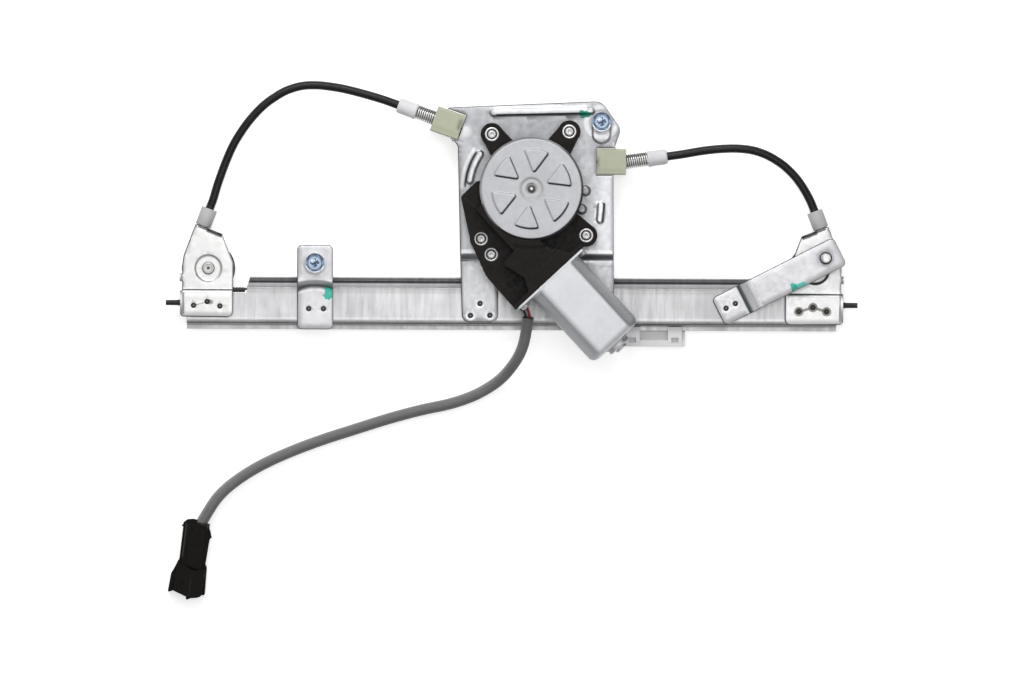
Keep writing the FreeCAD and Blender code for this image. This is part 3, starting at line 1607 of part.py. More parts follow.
def make_gearbox_fasteners():
    bushings = Piece("ear_bushings")
    screws = Piece("gearbox_screws")
    back = PLATE_FRONT
    for x, y in ear_points():
        disc(bushings, x, y, S.bushing_radius, back, S.ear_height)
    for (x, y), level in zip(ear_points(), boss_tops()):
        hole(bushings, x, y, S.bushing_bore, back + S.ear_height, S.ear_height)
        seat = level - S.boss_thickness
        disc(screws, x, y, S.screw_radius, seat, back + S.ear_height - seat)
        disc(screws, x, y, S.screw_head_radius, seat - S.screw_head_height, S.screw_head_height)
    for piece in (bushings, screws):
        piece.place(S.drum_x, S.drum_y)
        keep(piece.body)


# Glass carrier, drawn from its own middle on the rail's centre line
def make_carrier():
    carrier = Piece("carrier_slider")
    half = S.carrier_length / 2
    back, gap = S.carrier_back, S.carrier_gap
    shoe_front = S.web_front - S.rail_gauge - gap
    wall_inside = S.web_low - S.rail_gauge
    lip_edge = S.web_low + S.lower_lip
    low = S.carrier_low
    block(carrier, -half, -low, half, S.carrier_high, 0, back, 2)
    shoe = carrier.sketch("YZ_Plane", -half)
    bevel = S.web_bend
    outline(shoe, [(gap - wall_inside, back), (gap - wall_inside, shoe_front - bevel),
                   (gap - wall_inside + bevel, shoe_front), (S.shoe_top - 1, shoe_front),
                   (S.shoe_top, shoe_front - 1), (S.shoe_top, back)])
    carrier.pad(shoe, S.carrier_length)
    lug_front = S.cable_level + S.cable_diameter
    for left in (-half, half - S.lug_length):
        block(carrier, left, S.shoe_top, left + S.lug_length, S.lug_top, back, lug_front - back)
    # Lower bar and the two hooks that clasp the rail's lower lip
    block(carrier, -half, -low, half, -low + 4.3, back, 4.8)
    hooks = ((-half, S.left_hook - half), (half - 2.1 - S.right_hook, half - 2.1))
    for left, right in hooks:
        block(carrier, left, -low, right, -lip_edge - gap, back, S.hook_front - back)
        lip_front = S.web_front - S.rail_depth + S.rail_gauge
        block(carrier, left, -lip_edge - gap, right, -S.hook_reach, lip_front + gap,
              S.hook_front - lip_front - gap)
        window = carrier.flat(S.hook_front)
        middle = (left + right) / 2
        box_outline(window, middle - 2.4, 2.6 - low, middle + 2.4, 6 - low)
        carrier.pocket(window, 3)
    block(carrier, half - 2.1, -low, half, -lip_edge - gap, back, 3)
    groove = carrier.flat(lug_front)
    lane = S.cable_diameter / 2 + S.cable_clearance
    cable_y = S.pulley_height - S.cable_bend_radius
    box_outline(groove, -half - 1, cable_y - lane, half + 1, cable_y + lane)
    carrier.pocket(groove, lug_front - S.cable_level + lane)
    for side in (-1, 1):
        hole(carrier, side * S.insert_spacing / 2, -2, S.insert_radius, S.insert_depth, S.insert_depth)
    carrier.place(S.carrier_x)
    keep(carrier.body)

    inserts = Piece("glass_inserts")
    for side in (-1, 1):
        ring = inserts.flat(0)
        circle(ring, side * S.insert_spacing / 2, -2, S.insert_radius)
        circle(ring, side * S.insert_spacing / 2, -2, S.insert_bore)
        inserts.pad(ring, S.insert_depth)
    inserts.place(S.carrier_x)
    keep(inserts.body)

    nipples = Piece("cable_nipples")
    for start in (S.lug_length - half, half - S.lug_length - S.nipple_length):
        ring = nipples.sketch("YZ_Plane", start)
        circle(ring, cable_y, S.cable_level, S.nipple_radius)
        circle(ring, cable_y, S.cable_level, lane)
        nipples.pad(ring, S.nipple_length)
    nipples.place(S.carrier_x)
    keep(nipples.body)


# The loom's route from the motor to its plug, chosen by hand: x, y, height of its centre
LOOM = [(11.2, -8.0, 25.5), (9.5, -19.7, 23.5), (6.1, -30.7, 19.5), (0.0, -41.4, 13.0), (-7.1, -50.0, 7.6),
        (-16.6, -57.3, 4.6), (-27.0, -63.6, 3.8), (-42.6, -68.2, 3.8), (-58.2, -71.9, 3.8),
        (-73.8, -76.0, 3.8), (-89.4, -79.9, 3.8), (-105.3, -86.7, 3.8), (-128.8, -96.1, 3.8),
        (-152.1, -106.6, 3.8), (-169.7, -114.9, 4.2), (-185.0, -125.4, 5.2), (-195.5, -133.6, 6.2),
        (-203.6, -141.8, 6.8)]


def plug_entry():
    """Where the loom enters the plug."""
    x, y = turned(as_size(2.9), -S.plug_offset, S.plug_angle)
    return S.plug_x + x, S.plug_y + y


def make_loom():
    entry = spot(plug_entry(), S.plug_height / 2)
    route = [Vector(*p) for p in LOOM] + [entry]
    path, tightest = rounded_path(route)
    print("loom: length %.1f, tightest bend %.1f" % (path.Length, tightest))
    tube("harness_sleeve", path, float(S.sleeve_radius))
    exit_x, exit_y = by_motor(-(S.flange_distance + S.flange_gauge + 2), as_size(29.5))
    root_point = Vector(float(S.drum_x + exit_x), float(S.drum_y + exit_y), float(S.gear_level) - 9.5)
    down_motor = Vector(-math.cos(math.radians(float(S.motor_angle))),
                        -math.sin(math.radians(float(S.motor_angle))), 0)
    loom_way = (route[1] - route[0]).normalize()
    across = Vector(0, 0, 1).cross(loom_way).normalize() * 1.1
    across_motor = Vector(0, 0, 1).cross(down_motor) * 1.1
    for name, side in (("lead_red", -1), ("lead_black", 1)):
        first = root_point + across_motor * side
        last = route[0] + across * side
        path, tightest = rounded_path([first, first + down_motor * 2.2, last - loom_way * 2.2, last])
        tube(name, path, float(S.lead_radius))
    grommet = Piece("wire_grommet")
    base = -(S.flange_distance + S.flange_gauge)
    sketch = grommet.sketch("YZ_Plane", base)
    box_outline(sketch, 26.4, -12.6, 32.6, -6.6, 1)
    grommet.pad(sketch, 2, reverse=True)
    on_motor(grommet)
    keep(grommet.body)


def make_plug():
    housing = Piece("connector_housing")
    half = S.plug_width / 2
    height = S.plug_height
    body_end = -S.plug_body
    body = housing.sketch("YZ_Plane", body_end)
    box_outline(body, -half, 0.2, half, height, 2)
    housing.pad(body, S.plug_body)
    shroud = housing.flat(0.2)
    wide = S.shroud_width / 2
    mouth = body_end - S.shroud_length
    outline(shroud, [(body_end, -half - 1), (body_end - 6, -wide + 0.4), (mouth, -wide),
                     (mouth, wide), (body_end, half + 1)])
    housing.pad(shroud, S.shroud_height - 0.2)
    wall = S.shroud_wall
    cavity = housing.sketch("YZ_Plane", mouth)
    box_outline(cavity, wall - wide, 0.2 + wall, wide - wall, S.shroud_height - wall, 1.5)
    housing.pocket(cavity, S.shroud_cavity, reverse=True)
    seal_seat = housing.sketch("YZ_Plane", 0)
    circle(seal_seat, -S.plug_offset, height / 2, S.sleeve_radius + 1)
    housing.pocket(seal_seat, 4)
    for side in (-1, 1):
        wing = housing.flat(height / 2 - 1)
        outline(wing, [(-1, side * (half - 1)), (-12, side * (half - 1)), (-10.5, side * (half + 1.6)),
                       (-9, side * (half + 1))])
        housing.pad(wing, 2)
    housing.place(S.plug_x, S.plug_y, 0, S.plug_angle)
    keep(housing.body)

    lock = Piece("connector_lock")
    latch = lock.flat(height)
    outline(latch, [(-4, -3.6), (-3, -4.2), (-3, 4.2), (-4, 3.6), (body_end + 0.5, 3.6), (body_end + 0.5, -3.6)])
    lock.pad(latch, 1.4)
    lock.place(S.plug_x, S.plug_y, 0, S.plug_angle)
    keep(lock.body)

    seal = Piece("connector_seal")
    ring = seal.sketch("YZ_Plane", -4)
    circle(ring, -S.plug_offset, height / 2, S.sleeve_radius + 1)
    seal.pad(ring, 4)
    seal.place(S.plug_x, S.plug_y, 0, S.plug_angle)
    keep(seal.body)

    pins = Piece("connector_terminals")
    cavity_end = mouth + S.shroud_cavity
    for side in (-1, 1):
        blade = pins.sketch("YZ_Plane", cavity_end)
        box_outline(blade, side * 4 - 1.4, height / 2 - 0.4, side * 4 + 1.4, height / 2 + 0.4)
        pins.pad(blade, 11, reverse=True)
    pins.place(S.plug_x, S.plug_y, 0, S.plug_angle)
    keep(pins.body)


make_rail()
make_pulleys()
make_brackets()
make_bump_stops()
make_straps()
make_bolts()
make_base_plate()
make_drum_housing()
make_drum()
make_drum_cables()
make_sockets()
make_springs_and_ferrules()
make_rail_cable()
make_sheaths()
make_gearbox_housing()
make_gear_cover()
make_wheel()
make_motor()
make_armature_shaft()
make_gearbox_fasteners()
make_carrier()
make_loom()
make_plug()
DOC.recompute()

# Nothing is written unless every object is sound
for thing in DOC.Objects:
    if "Invalid" in thing.State or "Error" in thing.State:
        raise ValueError("%s is %s" % (thing.Label, thing.State))
for thing in NODES:
    if thing.Shape.isNull() or not thing.Shape.isValid():
        raise ValueError("%s has no valid shape" % thing.Label)
os.makedirs("parts", exist_ok=True)
for thing in NODES:
    thing.Shape.exportStep("parts/%s.step" % thing.Label)
print("%d sub-parts" % len(NODES))
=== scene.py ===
import json
import math

import bpy
import bmesh
from mathutils import Matrix, Vector
from mathutils.geometry import delaunay_2d_cdt

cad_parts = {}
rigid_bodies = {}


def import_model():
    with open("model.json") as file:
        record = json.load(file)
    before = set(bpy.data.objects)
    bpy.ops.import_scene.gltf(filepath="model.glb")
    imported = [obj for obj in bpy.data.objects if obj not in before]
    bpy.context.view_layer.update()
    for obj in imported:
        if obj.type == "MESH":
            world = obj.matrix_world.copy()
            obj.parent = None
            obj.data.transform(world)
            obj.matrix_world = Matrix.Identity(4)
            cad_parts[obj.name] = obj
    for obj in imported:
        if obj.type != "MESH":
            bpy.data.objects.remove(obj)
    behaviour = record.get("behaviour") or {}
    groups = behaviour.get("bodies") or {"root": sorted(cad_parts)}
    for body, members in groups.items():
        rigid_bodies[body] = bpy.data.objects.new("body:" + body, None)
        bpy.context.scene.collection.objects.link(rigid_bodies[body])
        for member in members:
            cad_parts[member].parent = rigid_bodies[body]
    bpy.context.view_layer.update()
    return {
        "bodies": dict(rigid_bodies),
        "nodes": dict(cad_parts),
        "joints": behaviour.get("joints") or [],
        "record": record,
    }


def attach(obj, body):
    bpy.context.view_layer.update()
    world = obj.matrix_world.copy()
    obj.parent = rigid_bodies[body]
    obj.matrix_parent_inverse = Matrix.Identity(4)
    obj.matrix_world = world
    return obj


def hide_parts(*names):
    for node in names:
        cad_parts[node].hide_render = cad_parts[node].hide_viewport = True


# The looks of the window regulator. Points are given in millimetres from the rail's middle, as in the
# part's source, and become metres in the row's frame when an object is made.

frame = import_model()
nodes = frame["nodes"]

MM = 0.001
RAIL_Y = -56.7
DRUM = (13.1, 78.9)
PULLEY, PULLEY_RADIUS = (206.4, 24.5), 14
CABLE_ANGLE = 69
BOLTS = ((-133.6, 28.2), (60.5, 124.8))
LINK_FOOT, LINK_ANGLE = (149, 0.3), 117
LEFT_BLOCK_ANGLE = 160.2
MOTOR_ANGLE = 133
GEAR_LEVEL = 36.5
MOTOR_FOOT = (-7.67, 59.531)
SIDES = ("left", "right")
CAMERA_SPOT, CAMERA_LENS, CAMERA_ROLL = (0.34, -24.5, 6014), 310.2, 0.25
FLOOR_GLOW = 0.55
SKY_GLOW = 0.6
FLOOR_REACH = 6
FLOOR_DROP = 0.0003


def metres(point):
    return Vector((point[0] * MM, (point[1] + RAIL_Y) * MM, point[2] * MM))


def frame_at(x, y, z, angle=0):
    """A frame standing on a point, turned about Z, in millimetres."""
    return Matrix.Translation((x, y, z)) @ Matrix.Rotation(math.radians(angle), 4, "Z")


def polar(radius, degrees):
    return (radius * math.cos(math.radians(degrees)), radius * math.sin(math.radians(degrees)))


def by_cable(along, side):
    """A spot on a pulley bracket, given along and beside the cable that leaves it."""
    angle = math.radians(CABLE_ANGLE)
    out = PULLEY_RADIUS - side
    return (along * math.cos(angle) - out * math.sin(angle), along * math.sin(angle) + out * math.cos(angle))


TO_ROW = Matrix.Diagonal((MM, MM, MM, 1)) @ Matrix.Translation((0, RAIL_Y, 0))
ALONG_X = Matrix.Rotation(math.radians(90), 4, "Y")
AGAINST_X = Matrix.Rotation(math.radians(-90), 4, "Y")


# Materials
class Nodes:
    """The nodes of a material or a world, with short calls to make and link them."""

    def __init__(self, owner):
        owner.use_nodes = True
        self.tree = owner.node_tree

    def feed(self, socket, value):
        """Links an output to a socket, or sets the socket's own number or colour."""
        if hasattr(value, "is_output"):
            self.tree.links.new(value, socket)
        else:
            socket.default_value = value

    def node(self, kind, **inputs):
        node = self.tree.nodes.new(kind)
        for key, value in inputs.items():
            self.feed(node.inputs[key.replace("_", " ")], value)
        return node

    def math(self, operation, *values, kind="ShaderNodeMath"):
        node = self.node(kind)
        node.operation = operation
        for socket, value in zip(node.inputs, values):
            self.feed(socket, value)
        return node.outputs["Value"]

    def ramp(self, value, low, high, start=0, end=1):
        """Maps low to high onto start to end, smoothly and clamped."""
        node = self.node("ShaderNodeMapRange", Value=value, From_Min=low, From_Max=high, To_Min=start,
                         To_Max=end)
        node.interpolation_type = "SMOOTHSTEP"
        return node.outputs["Result"]


def grey(level):
    return (level, level, level)


class Look(Nodes):
    """A material with short calls for the patterns it is mixed from."""

    def __init__(self, name, colour, metal=0, edge=0):
        self.material = bpy.data.materials.new(name)
        super().__init__(self.material)
        self.shader = self.tree.nodes["Principled BSDF"]
        self.shader.inputs["Metallic"].default_value = metal
        self.coords = self.node("ShaderNodeTexCoord").outputs
        self.colour = self.node("ShaderNodeRGB").outputs[0]
        self.colour.default_value = (*colour, 1)
        self.edge = edge

    def noise(self, size, detail=3, stretch=(1, 1, 1)):
        """Cloudy noise whose blobs are about this many millimetres across."""
        spot = self.node("ShaderNodeMapping", Vector=self.coords["Object"], Scale=stretch).outputs[0]
        return self.node("ShaderNodeTexNoise", Vector=spot, Scale=1000 / size, Detail=detail).outputs["Fac"]

    def tint(self, factor, colour):
        """Mixes another colour in where the factor is high."""
        node = self.node("ShaderNodeMix")
        node.data_type = "RGBA"
        for key, value in ((0, factor), (6, self.colour), (7, (*colour, 1))):
            self.feed(node.inputs[key], value)
        self.colour = node.outputs[2]
        return self

    def surface(self, grain, rough, relief, depth):
        """Varies the roughness with one pattern and adds another as relief this many millimetres deep."""
        self.rough = self.ramp(grain, 0.25, 0.75, *rough)
        self.height = self.math("MULTIPLY", relief, depth * MM)

    def placed(self, x, y, angle, scale=(1, 1, 1)):
        """The coordinates in a frame at a point, which is measured from the rail's middle."""
        node = self.node("ShaderNodeMapping", Vector=self.coords["Object"], Location=metres((x, y, 0)),
                         Rotation=(0, 0, math.radians(angle)), Scale=scale)
        node.vector_type = "TEXTURE"
        return node.outputs[0]

    def patch(self, x, y, half_x, half_y, angle=0):
        """Distance from a point, 1 at the rim of an ellipse."""
        place = self.placed(x, y, angle, (half_x * MM, half_y * MM, 1000))
        return self.math("LENGTH", place, kind="ShaderNodeVectorMath")

    def spot(self, x, y, half_x, half_y, low, high, strength, colour, angle=0):
        """Tints an ellipse, fading out from low to high times its size."""
        return self.tint(self.ramp(self.patch(x, y, half_x, half_y, angle), low, high, strength, 0), colour)

    def dab(self, x, y, half_x, half_y, angle, colour):
        """A brushed dab of paint with a ragged rim."""
        ragged = self.math("ADD", self.patch(x, y, half_x, half_y, angle),
                           self.ramp(self.noise(3.4, 2), 0.3, 0.7, -0.3, 0.3))
        return self.tint(self.ramp(ragged, 0.85, 1, 0.92, 0), colour)

    def pit(self, x, y):
        """The dark ring of a press joint with its paler centre."""
        away = self.patch(x, y, 1.85, 1.85)
        band = self.math("MULTIPLY", self.ramp(away, 0.92, 1.08, 1, 0), self.ramp(away, 0.15, 0.45, 0.72, 1))
        return self.tint(band, PIT)

    def local(self, x, y, angle):
        """The two outputs X and Y of a frame at a point, in metres."""
        split = self.node("ShaderNodeSeparateXYZ", Vector=self.placed(x, y, angle))
        return split.outputs["X"], split.outputs["Y"]

    def within(self, value, half, soft):
        """1 where a value lies within half of nought, with a soft border; half and soft in millimetres."""
        return self.ramp(self.math("ABSOLUTE", value), (half - soft) * MM, (half + soft) * MM, 1, 0)

    def bar(self, x, y, half_x, half_y, colour, strength=1, soft=0.35, angle=0):
        """Tints a soft-edged rectangle round a point."""
        u, v = self.local(x, y, angle)
        both = self.math("MULTIPLY", self.within(u, half_x, soft), self.within(v, half_y, soft))
        return self.tint(self.math("MULTIPLY", both, strength), colour)

    def bars(self, x, half_x, marks):
        """Tints bars of one width above each other: (y, half height, colour, strength, softness)."""
        for y, *mark in marks:
            self.bar(x, y, half_x, *mark)

    def arc(self, x, y, radius, half, colour, strength=1, soft=0.35, start=0, end=360):
        """Tints a ring, or its stretch between two angles, in degrees from the X axis."""
        u, v = self.local(x, y, (start + end) / 2)
        away = self.math("SQRT", self.math("ADD", self.math("MULTIPLY", u, u), self.math("MULTIPLY", v, v)))
        band = self.within(self.math("SUBTRACT", away, radius * MM), half, soft)
        if end - start < 360:
            span = math.radians(end - start) / 2
            turn = self.math("ABSOLUTE", self.math("ARCTAN2", v, u))
            band = self.math("MULTIPLY", band, self.ramp(turn, span - 0.03, span + 0.03, 1, 0))
        return self.tint(self.math("MULTIPLY", band, strength), colour)

    def lean(self, direction, low, high, colour, strength):
        """Tints the faces that lean towards a direction: painted light or shade by how a face is turned."""
        leaning = self.math("DOT_PRODUCT", self.coords["Normal"], Vector(direction).normalized(),
                            kind="ShaderNodeVectorMath")
        return self.tint(self.ramp(leaning, low, high, 0, strength), colour)

    def crease(self, reach, colour):
        """Paints shade into the corners where the piece is close to itself."""
        near = self.node("ShaderNodeAmbientOcclusion", Distance=reach * MM)
        near.only_local = True
        near.samples = 8
        return self.tint(self.ramp(near.outputs["AO"], 0.45, 0.95, 0.8, 0), colour)

    def done(self):
        """Links the colour, the roughness and the relief over softened edges to the shader."""
        bump = self.node("ShaderNodeBump", Height=self.height, Distance=1, Strength=1)
        if self.edge:
            bevel = self.node("ShaderNodeBevel", Radius=self.edge * MM)
            bevel.samples = 4
            self.feed(bump.inputs["Normal"], bevel.outputs[0])
        for key, output in (("Base Color", self.colour), ("Roughness", self.rough),
                            ("Normal", bump.outputs[0])):
            self.feed(self.shader.inputs[key], output)
        return self.material


def zinc_look(name, base, dark, rough=(0.3, 0.46), metal=0.85, edge=0.35, streak=(1, 1, 1), specks=0):
    """Zinc-plated sheet: cloudy, lightly brushed, with small pits."""
    look = Look(name, base, metal, edge)
    look.tint(look.ramp(look.noise(26, 4), 0.38, 0.68, 0, 0.55), dark)
    look.tint(look.ramp(look.noise(5, 5, streak), 0.42, 0.72, 0, 0.35), dark)
    look.tint(look.ramp(look.noise(0.9, 3, streak), 0.45, 0.75, 0, 0.3), dark)
    if specks:
        cells = look.node("ShaderNodeTexVoronoi", Vector=look.coords["Object"], Scale=1000 / 7.5)
        spots = look.math("MULTIPLY", look.ramp(cells.outputs["Distance"], 0.035, 0.075, 1, 0),
                          look.ramp(look.noise(16, 2), 0.56, 0.6))
        look.tint(look.math("MULTIPLY", spots, specks), grey(0.05))
    look.surface(look.noise(3, 4, streak), rough, look.noise(1.1, 4, streak), 0.035)
    return look


def plastic_look(name, base, light, rough=(0.38, 0.55), edge=0.3, grain=0.02, shine=0.5):
    look = Look(name, base, edge=edge)
    look.shader.inputs["Specular IOR Level"].default_value = shine
    look.tint(look.ramp(look.noise(14, 4), 0.4, 0.75, 0, 0.5), light)
    look.surface(look.noise(2.5, 3), rough, look.noise(0.45, 2), grain)
    return look


PLATE_CLINCHES = ((-34.6, -77.7), (-41.1, -85.9), (-27.9, -85.7))
BRACKET_CLINCHES = {"left": ((-9.9, -25.4), (-0.65, -22.8), (8, -25.8)),
                    "right": ((-7.7, -26.3), (1.55, -23.5), (11.1, -26.3))}
EARS = [polar(45.9, 126), polar(46.7, 56.9), polar(48.6, 320), polar(48, 224.8), polar(52.1, 238.6)]
STRAP_CLINCHES = ((-138, -2.8), (-128, -2.8))
LINK_CLINCHES = ((145.79, -1.33), (152.12, 1.89))
PIT = (0.03, 0.028, 0.024)
GLINT = (0.76, 0.77, 0.78)


def joints(look, x, y, points, halo=0, side=1):
    """Press joints: a dark ring round a paler middle, in a patch of painted glint when a halo is given."""
    for px, py in points:
        if halo:
            look.spot(x + side * px, y + py, halo, halo, 0.75, 1.1, 0.8, GLINT)
        look.pit(x + side * px, y + py)


def rail_look():
    look = zinc_look("galvanised_rail", (0.62, 0.62, 0.63), (0.4, 0.4, 0.41), (0.36, 0.52), edge=0.3,
                     streak=(1, 0.1, 0.12))
    look.tint(look.ramp(look.noise(1.4, 4, (1, 0.05, 0.1)), 0.5, 0.75, 0, 0.3), (0.72, 0.72, 0.73))
    look.bar(90, 0, 115, 11, (0.38, 0.38, 0.385), 0.34, 11)
    # Bands along the rail: a painted highlight on the top edge, painted shade down the upper wall and the top
    # of the web, a painted highlight and a dark line of painted shade at the lower bend, and a greyer lower
    # lip.
    look.bars(0, 224, (
        (17.3, 1.1, (0.06, 0.06, 0.065), 0.92, 0.4), (15.5, 0.9, (0.025, 0.025, 0.028), 0.96, 0.5),
        (18.9, 0.45, (0.45, 0.46, 0.47), 0.8, 0.25), (12.6, 1.6, (0.26, 0.26, 0.265), 0.75, 1.2),
        (11.4, 0.7, (0.24, 0.24, 0.245), 0.7, 0.4), (9.4, 1.6, grey(0.3), 0.35, 1.2),
        (-9.6, 1, (0.74, 0.74, 0.75), 0.5, 0.7), (-12.6, 0.5, (0.055, 0.055, 0.058), 0.9, 0.4),
        (-15.2, 1.7, (0.42, 0.42, 0.41), 0.4, 0.5)))
    return look


def plate_look():
    look = zinc_look("zinc_plate", (0.46, 0.465, 0.48), (0.32, 0.325, 0.34), (0.36, 0.5), specks=0.7)
    # Painted light and shade on the pressed shapes: glints and dark lines along the beads and the joggle, a
    # highlight round the bolt seat, shade round the dimples and a small highlight at the upper left; paler
    # patches on the right and the lower left; a teal dab of paint.
    look.spot(74, 58, 20, 46, 0.6, 1.3, 0.6, (0.74, 0.75, 0.77))
    look.spot(-34, 118, 7, 5, 0.5, 1.2, 0.5, GLINT)
    look.bar(14, 119.5, 24, 7, (0.2, 0.2, 0.21), 0.45, 4)
    look.bar(19, 133.6, 31.5, 2.2, (0.8, 0.81, 0.83), 0.6, 0.9, 1.4)
    look.bar(20, 130, 31, 0.6, (0.035, 0.036, 0.045), 0.96, 0.35, 1.4)
    look.arc(*DRUM, 41.2, 1.9, GLINT, 0.7, 0.8, 144, 177)
    look.arc(*DRUM, 47.6, 1, GLINT, 0.6, 0.8, 144, 180)
    look.arc(*DRUM, 45.1, 0.75, (0.035, 0.035, 0.04), 0.95, 0.4, 146, 178)
    look.bar(61.9, 63.2, 0.7, 6.6, (0.045, 0.045, 0.05), 0.92, 0.35, -6)
    look.bar(58.4, 63.4, 2.2, 7.4, GLINT, 0.9, 0.5, -6)
    look.arc(*BOLTS[1], 10.4, 1.6, (0.8, 0.81, 0.82), 0.6, 0.8)
    for x, y in ((49.7, 78), (47.15, 65.5)):
        look.arc(x, y, 3.3, 0.55, grey(0.05), 0.85, 0.3)
        look.spot(x, y, 2.4, 2.4, 0.8, 1.1, 0.8, grey(0.36))
    look.bars(-24, 16, ((36.6, 1.4, GLINT, 0.75, 0.8), (33, 1.3, (0.28, 0.295, 0.32), 0.75, 0.8),
                        (30.3, 0.45, (0.05, 0.052, 0.06), 0.95, 0.3)))
    look.bars(60, 16, ((36.4, 1.1, GLINT, 0.75, 0.7), (33, 1.3, (0.09, 0.11, 0.13), 0.8, 1),
                       (30.1, 0.9, GLINT, 0.7, 0.6), (26.9, 0.7, (0.4, 0.405, 0.41), 0.7, 0.6)))
    look.spot(-21.5, 12, 14, 22, 0.7, 1.2, 0.5, (0.66, 0.665, 0.67))
    joints(look, *DRUM, PLATE_CLINCHES, 3.6)
    return look.dab(49.3, 130, 4.4, 2.9, -8, (0, 0.21, 0.14))


def bracket_look(side):
    turn, drop, lie = (1, 1.6, 180 - CABLE_ANGLE) if side == "right" else (-1, 0, CABLE_ANGLE)
    x, y = PULLEY[0] * turn, PULLEY[1]
    look = zinc_look(side + "_bracket_zinc", (0.78, 0.785, 0.775), (0.7, 0.705, 0.7), (0.4, 0.52),
                     specks=0.4)
    # Painted shade round the axle's hole and in a line at the step, with a painted highlight below it, and
    # painted shade on the folded wall.
    if side == "left":
        look.arc(x, y, 9, 0.5, (0.16, 0.16, 0.155), 0.5, 0.4)
        look.arc(x, y, 9.2, 0.4, (0.06, 0.06, 0.058), 0.6, 0.5, 205, 285)
    else:
        look.arc(x, y, 9, 0.9, (0.05, 0.055, 0.05), 0.95, 0.3)
    look.bars(x, 19, ((9.8 - drop, 0.55, (0.05, 0.052, 0.055), 0.95, 0.25),
                      (8.3 - drop, 0.7, (0.55, 0.56, 0.57), 0.5, 0.4)))
    middle = Vector(by_cable(24.5, 5.9))
    look.bar(x - turn * middle.x, y + middle.y, 1.15, 8.7, (0.05, 0.05, 0.052), 0.9, 0.3, lie)
    if side == "right":
        bead_colour = (0.16, 0.15, 0.135)
        spots = [(x - px, y + py - drop) for px, py in BRACKET_CLINCHES[side]]
        for spot in spots:
            look.spot(*spot, 3.3, 3.3, 0.88, 1.06, 0.85, bead_colour)
        for (ax, ay), (bx, by) in zip(spots, spots[1:]):
            look.bar((ax + bx) / 2, (ay + by) / 2, math.hypot(bx - ax, by - ay) / 2, 0.9, bead_colour, 0.85,
                     0.3, math.degrees(math.atan2(by - ay, bx - ax)))
    else:
        look.bar(x - 5.3, y - 24.2, 4.2, 0.25, (0.14, 0.12, 0.09), 0.8, 0.25, 14)
        look.spot(x + 1.2, y - 23, 2.4, 1.8, 0.8, 1.1, 0.7, (0.16, 0.14, 0.1))
    joints(look, x, y - drop, BRACKET_CLINCHES[side], side=-turn)
    return look


def strap_look(side):
    look = zinc_look(side + "_strap_zinc", (0.64, 0.64, 0.66), (0.52, 0.52, 0.54), (0.38, 0.5), specks=0.9)
    # Painted light and shade on the bends: glints and dark bands along each joggle, a lighter patch on the
    # left strap and, on the right one, a darker patch with painted shade round its far hole. The teal dabs
    # are paint.
    if side == "left":
        x = BOLTS[0][0]
        look.bar(x, 15.4, 12.4, 1.5, GLINT, 0.6, 0.8)
        look.arc(x, -16.5, 29, 1.3, (0.07, 0.075, 0.085), 0.9, 0.8, 64, 116)
        look.arc(x, -16.5, 26.4, 0.7, GLINT, 0.7, 0.5, 64, 116)
        look.spot(x, 0.5, 11.5, 15, 0.8, 1.1, 0.2, grey(0.82))
        joints(look, 0, 0, STRAP_CLINCHES)
        return look.dab(-124.8, 8, 3, 4.6, -10, (0.02, 0.4, 0.29))
    joints(look, 0, 0, LINK_CLINCHES, 3.4)
    along = Vector(polar(1, LINK_ANGLE + 90))
    foot = Vector(LINK_FOOT)
    for place, half, colour, strength in (
            (-11.3, 1.1, (0.22, 0.25, 0.28), 0.85), (-9.9, 0.7, (0.05, 0.06, 0.075), 0.95),
            (-14.6, 2.6, (0.95, 0.95, 0.97), 0.95), (-18.6, 0.3, (0.36, 0.37, 0.4), 0.6),
            (-20.2, 0.3, (0.4, 0.41, 0.43), 0.5)):
        look.bar(*(foot + along * place), 10.6, half, colour, strength, 0.7 if half > 0.5 else 0.3,
                 LINK_ANGLE)
    end = foot - along * 72
    look.spot(*end, 8, 8, 0.5, 1.2, 0.5, (0.36, 0.36, 0.38))
    look.arc(*end, 3.7, 0.55, (0.03, 0.03, 0.035), 0.95, 0.3)
    look.dab(195.8, 14.8, 4.8, 1.8, 12, (0.11, 0.6, 0.5))
    return look.dab(191.6, 13.4, 3, 2.6, 20, (0.03, 0.38, 0.29))


def cover_look():
    look = zinc_look("cover_steel", (0.52, 0.525, 0.545), (0.44, 0.445, 0.465), (0.42, 0.55), 0.35)
    # Painted shade: dark on faces that lean down and to the right, grey on those that lean up and to the
    # left, a darker ring round the dimple and dark in the middle hole.
    look.lean((0.35, -0.94, 0), 0.14, 0.42, (0.035, 0.035, 0.045), 0.96)
    look.lean((0.9, 0.1, 0), 0.3, 0.6, (0.07, 0.07, 0.08), 0.8)
    look.lean((-0.5, 0.87, 0), 0.3, 0.65, (0.2, 0.2, 0.21), 0.7)
    look.arc(*DRUM, 7.3, 1.1, (0.36, 0.36, 0.355), 0.6, 0.8)
    look.spot(*DRUM, 4.2, 4.2, 0.55, 1.15, 0.75, (0.22, 0.22, 0.21))
    return look.spot(*DRUM, 2.9, 2.9, 0.75, 1.05, 0.95, grey(0.03))


def can_look():
    look = zinc_look("can_steel", (0.68, 0.685, 0.71), (0.61, 0.615, 0.64), (0.38, 0.48), 0.3, 0.3)
    # Painted shade on the side that faces +X and +Y and, less, on the side that faces -X and -Y.
    look.lean((0.7, 0.7, 0), 0.3, 0.6, (0.2, 0.205, 0.215), 0.85)
    return look.lean((-0.7, -0.7, 0), 0.35, 0.75, (0.26, 0.27, 0.285), 0.7)


